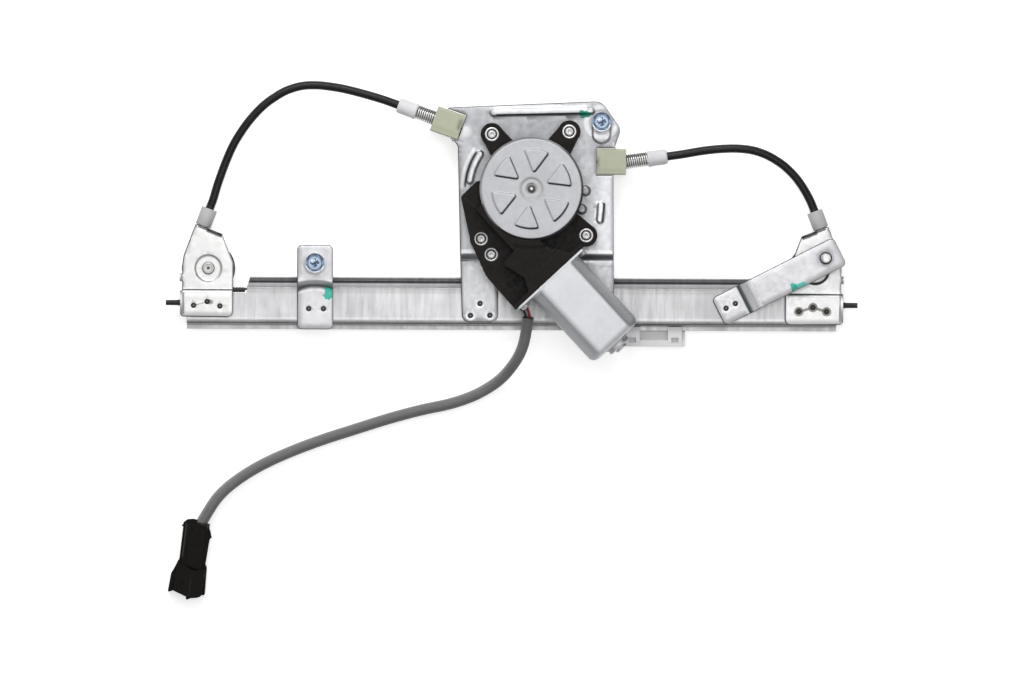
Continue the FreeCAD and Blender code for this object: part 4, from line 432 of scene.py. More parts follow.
def housing_look():
    """Black nylon with painted shade in its pockets and as a shadow under the cover, and painted highlights
    round the pockets and in two thin lines, one along a ridge on the wing.
    """
    look = plastic_look("black_housing", (0.0062, 0.0045, 0.0036), (0.013, 0.01, 0.008), shine=0.15)
    painted_shade, pale = grey(0.0002), (0.026, 0.022, 0.019)
    # The arc is a painted shadow under the cover's edge; the bars paint shade in the pockets over pale rims
    # of painted highlight.
    look.arc(*DRUM, 39.8, 1.3, painted_shade, 0.95, 0.5, 252, 288)
    for x, y, half_x, half_y in ((3.4, 17, 3, 3.4), (-1.6, 13.9, 3, 2.2), (27.8, 40.5, 2.2, 3.4)):
        look.bar(x, y, half_x + 0.6, half_y + 0.6, pale, 0.5, 0.3, -43)
        look.bar(x, y, half_x, half_y, painted_shade, 0.97, 0.3, -43)
    look.bar(-29, 70.3, 6.9, 0.25, pale, 0.6, 0.3, -41)
    return look.bar(31.4, 36.6, 15.5, 0.3, pale, 0.35, 0.4, 44.5)


def plug_look():
    """Near-black brown, with a painted highlight on an edge left of its middle, painted shade for a window in
    its shroud, a faint painted highlight on the shroud's ridge and painted shade in its corners.
    """
    look = plastic_look("black_plug", (0.0038, 0.0028, 0.002), (0.008, 0.0062, 0.005), (0.34, 0.5),
                        shine=0.11)
    look.bar(-222, -160.4, 12, 0.5, (0.055, 0.052, 0.045), 0.85, 0.45, 82.8)
    look.bar(-223.4, -189.4, 2, 1.3, (0.0015, 0.001, 0.001), 0.9, 0.4, 75)
    look.bar(-218, -193.2, 7, 0.4, (0.035, 0.032, 0.028), 0.6, 0.5, 82.8)
    return look.crease(2.4, grey(0.001))


def bolt_look():
    """Blue zinc with painted shade round the hexagon and in the cross recess, and painted highlights on the
    flange's lower rim and the head.
    """
    look = zinc_look("blue_zinc", (0.27, 0.34, 0.43), (0.17, 0.22, 0.29), (0.18, 0.32), 0.9, 0.25)
    look.crease(2, (0.02, 0.03, 0.06))
    for x, y in BOLTS:
        look.arc(x, y, 5.9, 0.5, (0.02, 0.03, 0.05), 0.9, 0.35, 20, 160)
        look.arc(x, y, 4.7, 0.35, (0.02, 0.03, 0.06), 0.85, 0.35)
        look.arc(x, y, 6.6, 0.6, (0.8, 0.84, 0.88), 0.7, 0.4, 200, 340)
        for angle in (35, 125):
            look.bar(x, y, 2.7, 0.42, (0.015, 0.03, 0.08), 0.95, 0.2, angle)
        look.spot(x - 1.2, y + 1.4, 1.8, 1.2, 0.6, 1.2, 0.5, (0.75, 0.83, 0.9), 30)
    return look


def bushing_look():
    """Bright rings with a shaded groove inside."""
    look = zinc_look("ring_zinc", grey(0.8), grey(0.6), (0.25, 0.4), 0.5, 0.2)
    for x, y in EARS:
        look.arc(x + DRUM[0], y + DRUM[1], 3.2, 0.3, grey(0.02), 0.95, 0.15)
    return look


def rivet_look():
    look = zinc_look("rivet_steel", (0.62, 0.62, 0.6), (0.5, 0.5, 0.49), (0.3, 0.45), 0.6, 0.2)
    y = PULLEY[1]
    # Painted shade round each head's rim and in its hollow middle.
    for x in (-PULLEY[0], PULLEY[0]):
        look.arc(x, y, 4.1, 0.35, grey(0.1), 0.85, 0.25)
        look.arc(x, y, 2.7, 0.25, (0.26, 0.26, 0.25), 0.7, 0.3)
        look.spot(x, y, 1.3, 1.3, 0.6, 1.1, 0.9, (0.06, 0.06, 0.05))
    return look


def hub_look():
    look = zinc_look("hub_steel", grey(0.1), grey(0.05), (0.3, 0.45), 0.6, 0.2)
    # A painted highlight on the shaft's tip.
    return look.spot(*DRUM, 1, 1, 0.7, 1.1, 1, grey(0.85))


def rim_look():
    """Edges of the sheets in painted shade: dark, with painted light where they face right."""
    look = zinc_look("painted_edge_shade", (0.13, 0.13, 0.135), (0.08, 0.08, 0.085), (0.36, 0.5), edge=0)
    return look.lean((0.93, -0.2, 0), 0.1, 0.5, (0.6, 0.6, 0.61), 0.85)


def coil_look():
    """Bright wire with painted shade between the turns and on the faces that lean towards +Y."""
    look = zinc_look("spring_wire", (0.8, 0.8, 0.79), grey(0.62), (0.22, 0.36), 0.8, 0)
    look.crease(0.9, grey(0.02))
    return look.lean((0.1, 0.98, 0), 0.35, 0.7, (0.04, 0.04, 0.045), 0.9)


def sleeve_look():
    """Grey sleeve with painted shade in its mouth at the motor, a red end at the plug and a painted highlight
    on the faces that lean towards -X and +Y.
    """
    look = plastic_look("grey_sleeve", (0.135, 0.135, 0.137), grey(0.165), (0.5, 0.62), 0, 0.05)
    look.lean((-0.8, 0.6, 0), 0.35, 0.9, (0.34, 0.34, 0.35), 0.6)
    look.bar(11.1, -8.4, 4.4, 0.6, grey(0.01), 0.95, 0.3, -8.3)
    return look.bar(-211, -149.7, 2.2, 0.8, (0.1, 0.004, 0.012), 0.95, 0.4, -31)


def block_look():
    """Natural plastic; where the cable's groove ends a dark band of painted shade, and a lighter band of
    painted shade along each block.
    """
    look = plastic_look("olive_block", (0.45, 0.47, 0.35), (0.54, 0.56, 0.45), (0.35, 0.5), 0.5)
    look.bar(57.6, 97.5, 1.3, 3.6, (0.13, 0.14, 0.1), 0.8, 2)
    look.bar(67.4, 92, 9.7, 1.2, (0.33, 0.35, 0.24), 0.45, 1.2)
    look.bar(-35.8, 122.6, 1.1, 3.6, (0.14, 0.15, 0.11), 0.8, 1.6, -20)
    look.bar(-46.6, 119, 9, 1.2, (0.33, 0.35, 0.24), 0.45, 1.2, -20)
    for key, value in (("Weight", 0.4), ("Radius", (1, 1, 0.7)), ("Scale", 0.003)):
        look.shader.inputs["Subsurface " + key].default_value = value
    return look


# Name, colour, second colour, roughness, and then what differs from the rule
ZINCS = {
    "steel": ("turned_steel", grey(0.4), grey(0.25), (0.22, 0.36), 0.95, 0.2),
    "bright": ("bright_zinc", grey(0.74), grey(0.5), (0.25, 0.4), 0.7, 0.2),
    "dome": ("domed_screw", grey(0.6), grey(0.42), (0.25, 0.4), 0.6, 0.2),
    "cable": ("greased_cable", (0.06, 0.06, 0.055), grey(0.02), (0.3, 0.5), 0.4, 0),
    "bronze": ("sintered_bronze", (0.42, 0.27, 0.13), (0.25, 0.16, 0.08)),
    "copper": ("turned_copper", (0.62, 0.31, 0.19), (0.4, 0.2, 0.12)),
}
PLASTICS = {
    "sheath": ("black_sheath", (0.0045, 0.0042, 0.004), (0.01, 0.009, 0.008), (0.28, 0.42), 0, 0.02, 0.3),
    "pulley": ("dark_pulley", (0.008, 0.014, 0.01), (0.02, 0.03, 0.024)),
    "ferrule": ("grey_ferrule", (0.47, 0.465, 0.475), (0.53, 0.525, 0.535), (0.5, 0.65)),
    "white": ("white_ferrule", (0.68, 0.68, 0.7), (0.74, 0.74, 0.76), (0.5, 0.65)),
    "carrier": ("white_carrier", (0.7, 0.7, 0.71), (0.78, 0.78, 0.79), (0.4, 0.55)),
    "rubber": ("black_rubber", grey(0.006), grey(0.014), (0.5, 0.7)),
    "guide": ("guide_rubber", (0.028, 0.027, 0.024), (0.05, 0.048, 0.044)),
    "red": ("red_lead", (0.3, 0.012, 0.016), (0.4, 0.03, 0.03), (0.35, 0.5), 0),
    "black": ("black_lead", grey(0.006), grey(0.012), (0.35, 0.5), 0),
    "cream": ("natural_plastic", (0.6, 0.57, 0.48), (0.66, 0.63, 0.55)),
    "ferrite": ("ferrite", (0.06, 0.06, 0.062), grey(0.09)),
}
LOOKS = {key: look.done() for key, look in {
    "rail": rail_look(),
    "plate": plate_look(),
    "left_bracket": bracket_look("left"),
    "right_bracket": bracket_look("right"),
    "left_strap": strap_look("left"),
    "right_strap": strap_look("right"),
    "cover": cover_look(),
    "can": can_look(),
    "rim": rim_look(),
    "coil": coil_look(),
    "bushing": bushing_look(),
    "rivet": rivet_look(),
    "hub": hub_look(),
    "blue": bolt_look(),
    "housing": housing_look(),
    "sleeve": sleeve_look(),
    "plug": plug_look(),
    "block": block_look(),
    **{key: zinc_look(*row) for key, row in ZINCS.items()},
    **{key: plastic_look(*row) for key, row in PLASTICS.items()},
}.items()}

# The looks of the CAD's nodes; a star stands for left and right
NODE_LOOKS = {
    "rail": "guide_rail",
    "plate": "base_plate",
    "*_bracket": "*_pulley_bracket",
    "*_strap": "*_mount_strap",
    "cover": "gear_cover",
    "can": "motor_can",
    "steel": "*_pulley_axle ear_bushings gearbox_screws armature_shaft armature_core glass_inserts "
             "weld_nuts *_tension_spring motor_screws",
    "hub": "drive_hub",
    "bright": "strap_stud",
    "blue": "mount_bolts",
    "cable": "rail_cable *_drum_cable drum_cable_wraps cable_nipples",
    "housing": "gearbox_housing drum_housing brush_card",
    "sheath": "*_cable_sheath",
    "pulley": "*_pulley",
    "ferrule": "*_socket_ferrule *_bracket_ferrule",
    "carrier": "carrier_slider",
    "rubber": "*_bump_stop rubber_damper wire_grommet connector_seal",
    "sleeve": "harness_sleeve",
    "plug": "connector_housing connector_lock",
    "red": "lead_red",
    "black": "lead_black",
    "cream": "cable_drum worm_wheel",
    "bronze": "motor_bearings",
    "copper": "commutator connector_terminals",
    "ferrite": "motor_magnets carbon_brushes",
    "block": "*_socket_block",
}

for side in SIDES:
    for look, names in NODE_LOOKS.items():
        for name in names.split():
            materials = nodes[name.replace("*", side)].data.materials
            materials.clear()
            materials.append(LOOKS[look.replace("*", side)])


# Camera, lamps and floor
def link_object(name, data):
    thing = bpy.data.objects.new(name, data)
    bpy.context.scene.collection.objects.link(thing)
    return thing


def add_lamp(name, energy, size, place):
    """A lamp that points at the frame's origin."""
    light = bpy.data.lights.new(name, "AREA")
    light.energy = energy
    light.shape = "RECTANGLE"
    light.size, light.size_y = size
    thing = link_object(name, light)
    thing.location = place
    thing.rotation_euler = (-Vector(place)).to_track_quat("-Z", "Y").to_euler()


def make_sky():
    """White walls that are dim near the floor and brightest overhead."""
    world = bpy.data.worlds.new("studio")
    sky = Nodes(world)
    way = sky.node("ShaderNodeTexCoord").outputs["Generated"]
    split = sky.node("ShaderNodeSeparateXYZ", Vector=way)
    strength = sky.ramp(split.outputs["Z"], 0.1, 0.85, 0.06, SKY_GLOW)
    for key, value in (("Color", (1, 1, 1, 1)), ("Strength", strength)):
        sky.feed(sky.tree.nodes["Background"].inputs[key], value)
    bpy.context.scene.world = world


def make_floor():
    """A white sheet that glows where the camera or a mirror looks at it."""
    mesh = bpy.data.meshes.new("floor")
    mesh.from_pydata([(x * FLOOR_REACH, y * FLOOR_REACH, 0) for x, y in ((-1, -1), (1, -1), (1, 1), (-1, 1))],
                     [], [(0, 1, 2, 3)])
    floor = link_object("floor", mesh)
    floor.location.z = -FLOOR_DROP
    look = bpy.data.materials.new("floor")
    glow = Nodes(look)
    path = glow.node("ShaderNodeLightPath").outputs
    seen = path["Is Camera Ray"]
    for ray in ("Is Glossy Ray", "Is Transmission Ray"):
        seen = glow.math("MAXIMUM", seen, path[ray])
    for key, value in (("Base Color", (0.8, 0.8, 0.8, 1)), ("Roughness", 0.9), ("Specular IOR Level", 0),
                       ("Emission Color", (1, 1, 1, 1)),
                       ("Emission Strength", glow.math("MULTIPLY", seen, FLOOR_GLOW))):
        glow.feed(glow.tree.nodes["Principled BSDF"].inputs[key], value)
    mesh.materials.append(look)


def make_studio():
    camera = link_object("camera", bpy.data.cameras.new("camera"))
    camera.data.sensor_width = 36
    camera.data.lens = CAMERA_LENS
    camera.location = metres(CAMERA_SPOT)
    camera.rotation_euler = (0, 0, math.radians(CAMERA_ROLL))
    bpy.context.scene.camera = camera
    bpy.context.scene.view_settings.view_transform = "Standard"
    make_sky()
    add_lamp("key", 14.5, (1.5, 0.6), (-0.25, 1.15, 1))
    add_lamp("top", 7.5, (1.4, 1), (0.1, 0.25, 1.9))
    make_floor()


# Shapes
def add_object(name, data, look, stands_for):
    thing = link_object(name, data)
    data.materials.append(LOOKS[look])
    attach(thing, "regulator")
    if stands_for:
        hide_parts(*stands_for)
    return thing


def wire(name, points, radius, look, node, kind="NURBS", sides=4):
    """A round wire along points in millimetres, in place of a node."""
    curve = bpy.data.curves.new(name, "CURVE")
    curve.dimensions = "3D"
    curve.bevel_depth = radius * MM
    curve.bevel_resolution = sides
    curve.use_fill_caps = True
    curve.resolution_u = 12
    spline = curve.splines.new(kind)
    spline.points.add(len(points) - 1)
    for slot, point in zip(spline.points, points):
        slot.co = (*metres(point), 1)
    if kind == "NURBS":
        spline.order_u = 3
        spline.use_endpoint_u = True
    spline.use_smooth = True
    return add_object(name, curve, look, [node])


def rounded(corners, step=0.8):
    """A closed outline through corners (x, y) or (x, y, radius), its arcs in short steps."""
    points = []
    count = len(corners)
    for i, corner in enumerate(corners):
        here = Vector(corner[:2])
        if len(corner) == 2:
            points.append(tuple(here))
            continue
        back = (Vector(corners[i - 1][:2]) - here).normalized()
        ahead = (Vector(corners[(i + 1) % count][:2]) - here).normalized()
        half = back.angle(ahead) / 2
        radius = corner[2]
        centre = here + (back + ahead).normalized() * (radius / math.sin(half))
        first = here + back * (radius / math.tan(half)) - centre
        last = here + ahead * (radius / math.tan(half)) - centre
        start = math.atan2(first.y, first.x)
        turn = (math.atan2(last.y, last.x) - start + math.pi) % (2 * math.pi) - math.pi
        parts = max(2, int(abs(turn) * radius / step) + 1)
        for k in range(parts + 1):
            angle = start + turn * k / parts
            points.append((centre.x + radius * math.cos(angle), centre.y + radius * math.sin(angle)))
    return points


def ring(x, y, radius, count=32):
    return [(x + radius * math.cos(2 * math.pi * k / count), y + radius * math.sin(2 * math.pi * k / count))
            for k in range(count)]


def inside(x, y, loop):
    odd = False
    ax, ay = loop[-1]
    for bx, by in loop:
        if (ay > y) != (by > y) and x < (bx - ax) * (y - ay) / (by - ay) + ax:
            odd = not odd
        ax, ay = bx, by
    return odd


def on_sheet(x, y, loops):
    """Whether a point lies inside the first loop and outside the others."""
    return inside(x, y, loops[0]) and not any(inside(x, y, gap) for gap in loops[1:])


def inset(loop, distance):
    """A closed outline moved sideways: into the area it encloses when the distance is positive."""
    area = sum(ax * by - bx * ay for (ax, ay), (bx, by) in zip(loop, loop[1:] + loop[:1]))
    way = distance if area > 0 else -distance
    points = []
    for k, (x, y) in enumerate(loop):
        here = Vector((x, y))
        back = (here - Vector(loop[k - 1])).normalized()
        ahead = (Vector(loop[(k + 1) % len(loop)]) - here).normalized()
        normal = Vector((-ahead.y, ahead.x))
        side = (Vector((-back.y, back.x)) + normal).normalized()
        spot = here + side * (way / max(0.5, side.dot(normal)))
        points.append((spot.x, spot.y))
    return points


def smooth(t):
    t = min(max(t, 0), 1)
    return t * t * (3 - 2 * t)


def from_line(x, y, first, last):
    """Distance of a point from a straight stretch."""
    ax, ay = first
    bx, by = last
    along = ((x - ax) * (bx - ax) + (y - ay) * (by - ay)) / ((bx - ax) ** 2 + (by - ay) ** 2)
    along = min(max(along, 0), 1)
    return math.hypot(x - ax - along * (bx - ax), y - ay - along * (by - ay))


def bead(distance, half_width, height, flank=1.1):
    """Height of a pressed bead at a distance from its middle."""
    return height * smooth((half_width - distance) / flank)


class Shape:
    """Collects geometry in millimetres and makes one object of it."""

    def __init__(self):
        self.mesh = bmesh.new()

    def add(self, points, faces, frame, rims=frozenset()):
        """Adds faces over a frame's points; a face that touches a rim point gets the rim's look."""
        verts = [self.mesh.verts.new(frame @ Vector(p)) for p in points]
        turned = frame.determinant() < 0
        for face in faces:
            corners = [verts[i] for i in face]
            made = self.mesh.faces.new(reversed(corners) if turned else corners)
            made.material_index = 0 if rims.isdisjoint(face) else 1

    def loft(self, rows, frame, closed=True, caps=(True, True)):
        """Skins equal rows of points and caps the first and the last one."""
        count, last = len(rows[0]), len(rows) - 1
        faces = []
        for row in range(last):
            for k in range(count if closed else count - 1):
                a, b = row * count + k, row * count + (k + 1) % count
                faces.append((a, b, b + count, a + count))
        if caps[0]:
            faces.append(tuple(reversed(range(count))))
        if caps[1]:
            faces.append(tuple(range(last * count, (last + 1) * count)))
        self.add([p for row in rows for p in row], faces, frame)

    def lathe(self, profile, frame, sides=40):
        """Turns a profile of (radius, height) about the frame's Z axis and caps it where it ends open."""
        rows = [[(x, y, height) for x, y in ring(0, 0, radius, sides)] for radius, height in profile]
        self.loft(rows, frame, caps=[profile[i][0] > 0 and profile[0] != profile[-1] for i in (0, -1)])

    def prism(self, outline, low, top, frame):
        """A solid between two levels over an outline."""
        self.loft([[(x, y, z) for x, y in outline] for z in (low, top)], frame)

    def sheet(self, outline, level, frame, gaps, busy, fine=0.7, rim=0):
        """The front face of a pressed sheet: an outline with gaps, at a level that depends on x and y.

        It has fine points where it is busy. Its edges are eased over a rim of this width.
        """
        loops = [outline] + gaps
        inner = [inset(loop, rim if loop is outline else -rim) for loop in loops] if rim else []
        points, edges = [], []
        rim_end = 0
        for turn, loop in enumerate(loops + inner):
            if turn == len(loops):
                rim_end = len(points)
            start = len(points)
            for (ax, ay), (bx, by) in zip(loop, loop[1:] + loop[:1]):
                parts = max(1, int(math.hypot(bx - ax, by - ay) / (2.5 * fine)))
                points += [(ax + (bx - ax) * k / parts, ay + (by - ay) * k / parts) for k in range(parts)]
            edges += [(i, i + 1) for i in range(start, len(points) - 1)] + [(len(points) - 1, start)]
        xs, ys = [p[0] for p in outline], [p[1] for p in outline]
        ratio = round(COARSE / fine)
        for i in range(int((max(xs) - min(xs)) / fine)):
            for j in range(int((max(ys) - min(ys)) / fine)):
                x, y = min(xs) + (i + 0.5) * fine, min(ys) + (j + 0.5) * fine
                if i % ratio == j % ratio == 0 or busy(x, y):
                    if not rim or on_sheet(x, y, inner):
                        points.append((x, y))
        verts, _, triangles, origins, *_ = delaunay_2d_cdt([Vector(p) for p in points], edges, [], 0, 0.0001)
        kept = [triangle for triangle in triangles
                if on_sheet(*(sum(verts[i][axis] for i in triangle) / 3 for axis in (0, 1)), loops)]
        used = sorted({i for triangle in kept for i in triangle})
        place = {i: n for n, i in enumerate(used)}
        rims = {place[i] for i in used if any(source < rim_end for source in origins[i])}
        spots = [(x, y, level(x, y) - (0.7 * rim if n in rims else 0))
                 for n, (x, y) in enumerate(verts[i] for i in used)]
        self.add(spots, [[place[i] for i in triangle] for triangle in kept], frame, rims)

    def finish(self, name, look, *stands_for, gauge=0, edge=0, segments=2, angle=40):
        """Makes the object; a gauge makes a sheet thick, an edge rounds a solid."""
        bmesh.ops.transform(self.mesh, matrix=TO_ROW, verts=self.mesh.verts)
        data = bpy.data.meshes.new(name)
        self.mesh.to_mesh(data)
        self.mesh.free()
        data.polygons.foreach_set("use_smooth", [True] * len(data.polygons))
        thing = add_object(name, data, look, stands_for)
        if any(face.material_index for face in data.polygons):
            data.materials.append(LOOKS["rim"])
        if gauge:
            thick = thing.modifiers.new("gauge", "SOLIDIFY")
            thick.thickness = gauge * MM
            thick.offset = -1
        if edge:
            soft = thing.modifiers.new("edges", "BEVEL")
            soft.width = edge * MM
            soft.segments = segments
            soft.limit_method = "ANGLE"
            soft.angle_limit = math.radians(angle)
            soft.harden_normals = True
        return thing


DRUM_FRAME = frame_at(*DRUM, 0)
MOTOR_FRAME = frame_at(*MOTOR_FOOT, GEAR_LEVEL, MOTOR_ANGLE)
PULLEY_FRAMES = {"left": frame_at(-PULLEY[0], PULLEY[1], 0),
                 "right": frame_at(*PULLEY, 0) @ Matrix.Diagonal((-1, 1, 1, 1))}
LEFT_BLOCK = polar(72.6, 141.8)
RIGHT_BLOCK = (54.4, 19)
RAIL_FRONT, GAUGE, RISE = 14, 1.5, 7
COARSE = 4


# Pressed sheets
def clinch_ring(x, y, points, depth=0.45):
    """The pressed groove round each clinch joint, as a height."""
    nearest = min(math.hypot(x - px, y - py) for px, py in points)
    return -depth * smooth(1 - abs(nearest - 1.35) / 0.75)


def near_any(x, y, points, reach):
    return any(abs(x - px) < reach and abs(y - py) < reach for px, py in points)


def block_gap(centre, angle):
    """The plate's opening for a socket block, 0.4 mm wider all round."""
    turn = Matrix.Rotation(math.radians(angle), 2)
    along, side = 19.5 / 2 + 0.4, 17.4 / 2 + 0.4
    return [tuple(turn @ Vector((u, v)) + Vector(centre))
            for u, v in ((-along, -side), (along, -side), (along, side), (-along, side))]


def make_base_plate():
    foot, gap_top, middle = -90.5, -35, 4.9
    left, right, leg = middle - 27.2, middle + 27.2, 24.5
    outline = rounded([
        (left - leg, foot, 5.4), (left, foot, 5.4), (left, gap_top, 4), (right, gap_top, 4),
        (right, foot, 5.4), (right + leg, foot, 5.4), (55.6, 26.6, 6), (61, 41.1, 8), (47.4, 60.1, 9),
        (-57.6, 55.3, 2), (-55.7, 35.5, 3), (-50.1, 29.6, 5), (-48.3, -43.9, 40)])
    bolt = (47.4, 45.9)
    dimples = [polar(36.6, -1.4), polar(36.6, -21.5)]
    step_top, step_foot = -43.9, -47.9
    beads = (((-26, 52), (40, 53.6), 3, 1.3, 1.4, 3.6), ((46.8, -20.5), (47.4, -11), 2.9, 1.3, 1.3, 3.6),
             ((bolt[0], bolt[1] - 8.4), bolt, 6.6, 1.2, 1.2, 7.4))

    def from_arc(x, y):
        angle = math.degrees(math.atan2(y, x)) % 360
        if 146 <= angle <= 172:
            return abs(math.hypot(x, y) - 42.3)
        end = polar(42.3, 146 if angle < 146 else 172)
        return math.hypot(x - end[0], y - end[1])

    def level(x, y):
        z = RAIL_FRONT + GAUGE + RISE * smooth((y - step_foot) / (step_top - step_foot))
        for first, last, half, height, flank, _ in beads:
            z += bead(from_line(x, y, first, last), half, height, flank)
        z += bead(from_arc(x, y), 2.9, 1.3, 1.4)
        for dimple in dimples:
            z += bead(math.hypot(x - dimple[0], y - dimple[1]), 3.1, 1, 0.9)
        return z + clinch_ring(x, y, PLATE_CLINCHES)

    def busy(x, y):
        return (step_foot - 1 < y < step_top + 1 or from_arc(x, y) < 3.6
                or any(from_line(x, y, first, last) < reach for first, last, *_, reach in beads)
                or near_any(x, y, dimples, 4) or near_any(x, y, PLATE_CLINCHES, 2.6))

    gaps = [ring(0, 0, 9), ring(*bolt, 3)] + [ring(x, y, 3.2, 20) for x, y in EARS]
    gaps += [block_gap(LEFT_BLOCK, LEFT_BLOCK_ANGLE), block_gap(RIGHT_BLOCK, 0)]
    plate = Shape()
    plate.sheet(outline, level, DRUM_FRAME, gaps, busy, 0.65, 0.6)
    plate.finish("pressed_base_plate", "plate", "base_plate", gauge=GAUGE)


def wall_strip(shape, first, last, top, low, bend, frame):
    """A wall folded down from a sheet's edge that runs from first to last; bend is its inner radius."""
    run = Vector(last) - Vector(first)
    out = Vector((run.y, -run.x)).normalized()
    rows = []
    for k in range(7):
        angle = math.radians(15 * k)
        rows.append((bend * math.sin(angle), top - bend * (1 - math.cos(angle))))
    rows.append((bend, low))
    shape.loft([[(x + out.x * reach, y + out.y * reach, height) for reach, height in rows]
                for x, y in (last, first)], frame, False, (False, False))


def make_brackets():
    outer, inner, fold = -18.3, 17, 25.2
    for side, frame in PULLEY_FRAMES.items():
        foot, step, wide = (-33.4, -14.2, inner) if side == "left" else (-37.2, -15.6, inner + 3.7)
        marks = [(x, y - (0 if side == "left" else 1.6)) for x, y in BRACKET_CLINCHES[side]]
        fold_left, fold_right = by_cable(fold, -5), by_cable(fold, 14.4)
        shoulder = [] if wide == inner else [(wide, step - 1, 1), (inner, step + 0.2)]
        outline = rounded([(outer - 0.8, foot + 0.4, 2.5), (wide, foot, 4)] + shoulder
                          + [(inner, 3.5, 6), fold_right, fold_left, (outer + 1.4, 8.5, 8), (outer + 0.6, 2),
                             (outer + 0.6, -3.5), (outer - 1.2, -3.9), (outer - 1.2, -8.8),
                             (outer + 0.6, -9.2), (outer + 0.6, -15.2), (outer - 0.8, -15.8)])

        def level(x, y):
            z = RAIL_FRONT + GAUGE * smooth((step - y) / 1.7)
            z -= 0.9 * smooth((9.4 - math.hypot(x, y)) / 1.3)
            return z + clinch_ring(x, y, marks)

        def busy(x, y):
            return math.hypot(x, y) < 10 or step - 2.4 < y < step + 0.8 or near_any(x, y, marks, 2.6)

        bracket = Shape()
        bracket.sheet(outline, level, frame, [ring(0, 0, 3)], busy, rim=0.7)
        for first, last in ((-5, -3.9), (3.9, 14.4)):
            wall_strip(bracket, by_cable(fold, first), by_cable(fold, last), RAIL_FRONT, 3.5, 1.6, frame)
        for reach, low, high, *wall in ((0.8, foot + 2.5, -16.4, RAIL_FRONT + GAUGE, 4, 2),
                                        (1.2, -8.8, -3.9, RAIL_FRONT, 8, 0.8)):
            wall_strip(bracket, (outer - reach, low), (outer - reach, high), *wall, frame)
        bracket.finish(side + "_pressed_bracket", side + "_bracket", side + "_pulley_bracket", gauge=GAUGE)


def strap(name, half, low, top, hole, marks, frame, step, busy):
    """A strap with one bolt hole; step gives its height and busy tells where its bend is."""
    shape = Shape()
    shape.sheet(rounded([(-half, low, 3.4), (half, low, 3.4), (half, top, 3.4), (-half, top, 3.4)]),
                lambda x, y: step(x, y) + clinch_ring(x, y, marks), frame, [ring(0, hole, 3)],
                lambda x, y: busy(x, y) or near_any(x, y, marks, 2.6), rim=0.55)
    shape.finish(name + "_pressed_strap", name + "_strap", name + "_mount_strap", gauge=GAUGE)


def make_straps():
    x, hole = BOLTS[0]
    strap("left", 12.2, -16.9, 40.5, hole, [(-4.4, -2.8), (5.6, -2.8)], frame_at(x, 0, 0),
          lambda x, y: (RAIL_FRONT + GAUGE + RISE * smooth((y - 11.2 - (1.2 - 0.012 * x * x)) / 4.2)
                        + bead(math.hypot(x, y - hole), 8.2, 0.35, 1.2)),
          lambda x, y: 9 < y < 18 or math.hypot(x, y - hole) < 9)
    strap("right", 10.5, -83, 9.5, -72, [(0, -3.5), (0, 3.6)], frame_at(*LINK_FOOT, 0, LINK_ANGLE),
          lambda x, y: RAIL_FRONT + GAUGE + RISE - RISE * smooth((y + 17.96) / 8.96),
          lambda x, y: -19 < y < -8)


def from_pad(x, y):
    """How far a point lies inside the nearest raised pad of the gear cover."""
    angle = (math.degrees(math.atan2(y, x)) - 22.5 + 30) % 60 - 30
    radius = math.hypot(x, y)
    u, v = polar(radius, angle)
    slope = math.atan2(8.6, 25.3 - 9.8)
    side = (u - 9.8) * math.sin(slope) - abs(v) * math.cos(slope)
    outer = 27.2 - radius
    corner = 1.6
    if side < corner and outer < corner:
        return corner - math.hypot(corner - side, corner - outer)
    tip = 9.8 + corner / math.sin(slope)
    if u < tip and side < corner:
        away = math.hypot(u - tip, v)
        if math.atan2(abs(v), tip - u) < math.pi / 2 - slope:
            return corner - away
    return min(side, outer)


def make_gear_cover():
    cover = Shape()
    seat, gauge, radius = 43.4, 1.2, 34.5

    def level(x, y):
        r = math.hypot(x, y)
        z = seat + gauge - 0.4 * smooth((7.8 - r) / 1) + 1 * smooth((from_pad(x, y) + 0.3) / 1.2)
        z -= 0.5 * smooth((4.2 - r) / 1.2)
        edge = max(0, r - (radius - 1.4))
        return z - (1.4 - math.sqrt(max(0, 1.4 ** 2 - edge ** 2)))

    def busy(x, y):
        r = math.hypot(x, y)
        return -1.2 < from_pad(x, y) < 1.8 or r < 9 or r > radius - 2.2

    cover.sheet(ring(0, 0, radius, 160), level, DRUM_FRAME, [ring(0, 0, 2.9)], busy, 0.55)
    cover.lathe([(radius, seat + gauge - 1.4), (radius, seat - 2), (radius - 0.9, seat - 2)],
                DRUM_FRAME, 160)
    cover.finish("pressed_gear_cover", "cover", "gear_cover", gauge=0.9)


# Turned and formed pieces
def make_ears():
    bushings, screws = Shape(), Shape()
    for x, y in EARS:
        frame = DRUM_FRAME @ Matrix.Translation((x, y, 0))
        bushings.lathe([(3.2, 22.5), (4.9, 22.5), (4.9, 30.5), (4.6, 31), (3.7, 31), (3.5, 30.7),
                        (3.4, 27), (3.2, 26.5), (3.2, 22.5)], frame)
        low = 18 if (x, y) != EARS[4] else 10.6
        screws.lathe([(0, low - 2.6), (4.6, low - 2.6), (4.6, low), (2.9, low), (2.9, 30.1), (2.75, 30.6),
                      (2.2, 30.9), (1.2, 31), (0.9, 30.75), (0, 30.7)], frame)
    bushings.finish("ring_bushings", "bushing", "ear_bushings")
    screws.finish("housing_screws", "dome", "gearbox_screws")


def turned(name, look, profile, frame, sides, *stands_for):
    """A piece of one turned profile."""
    shape = Shape()
    shape.lathe(profile, frame, sides)
    shape.finish(name, look, *stands_for)


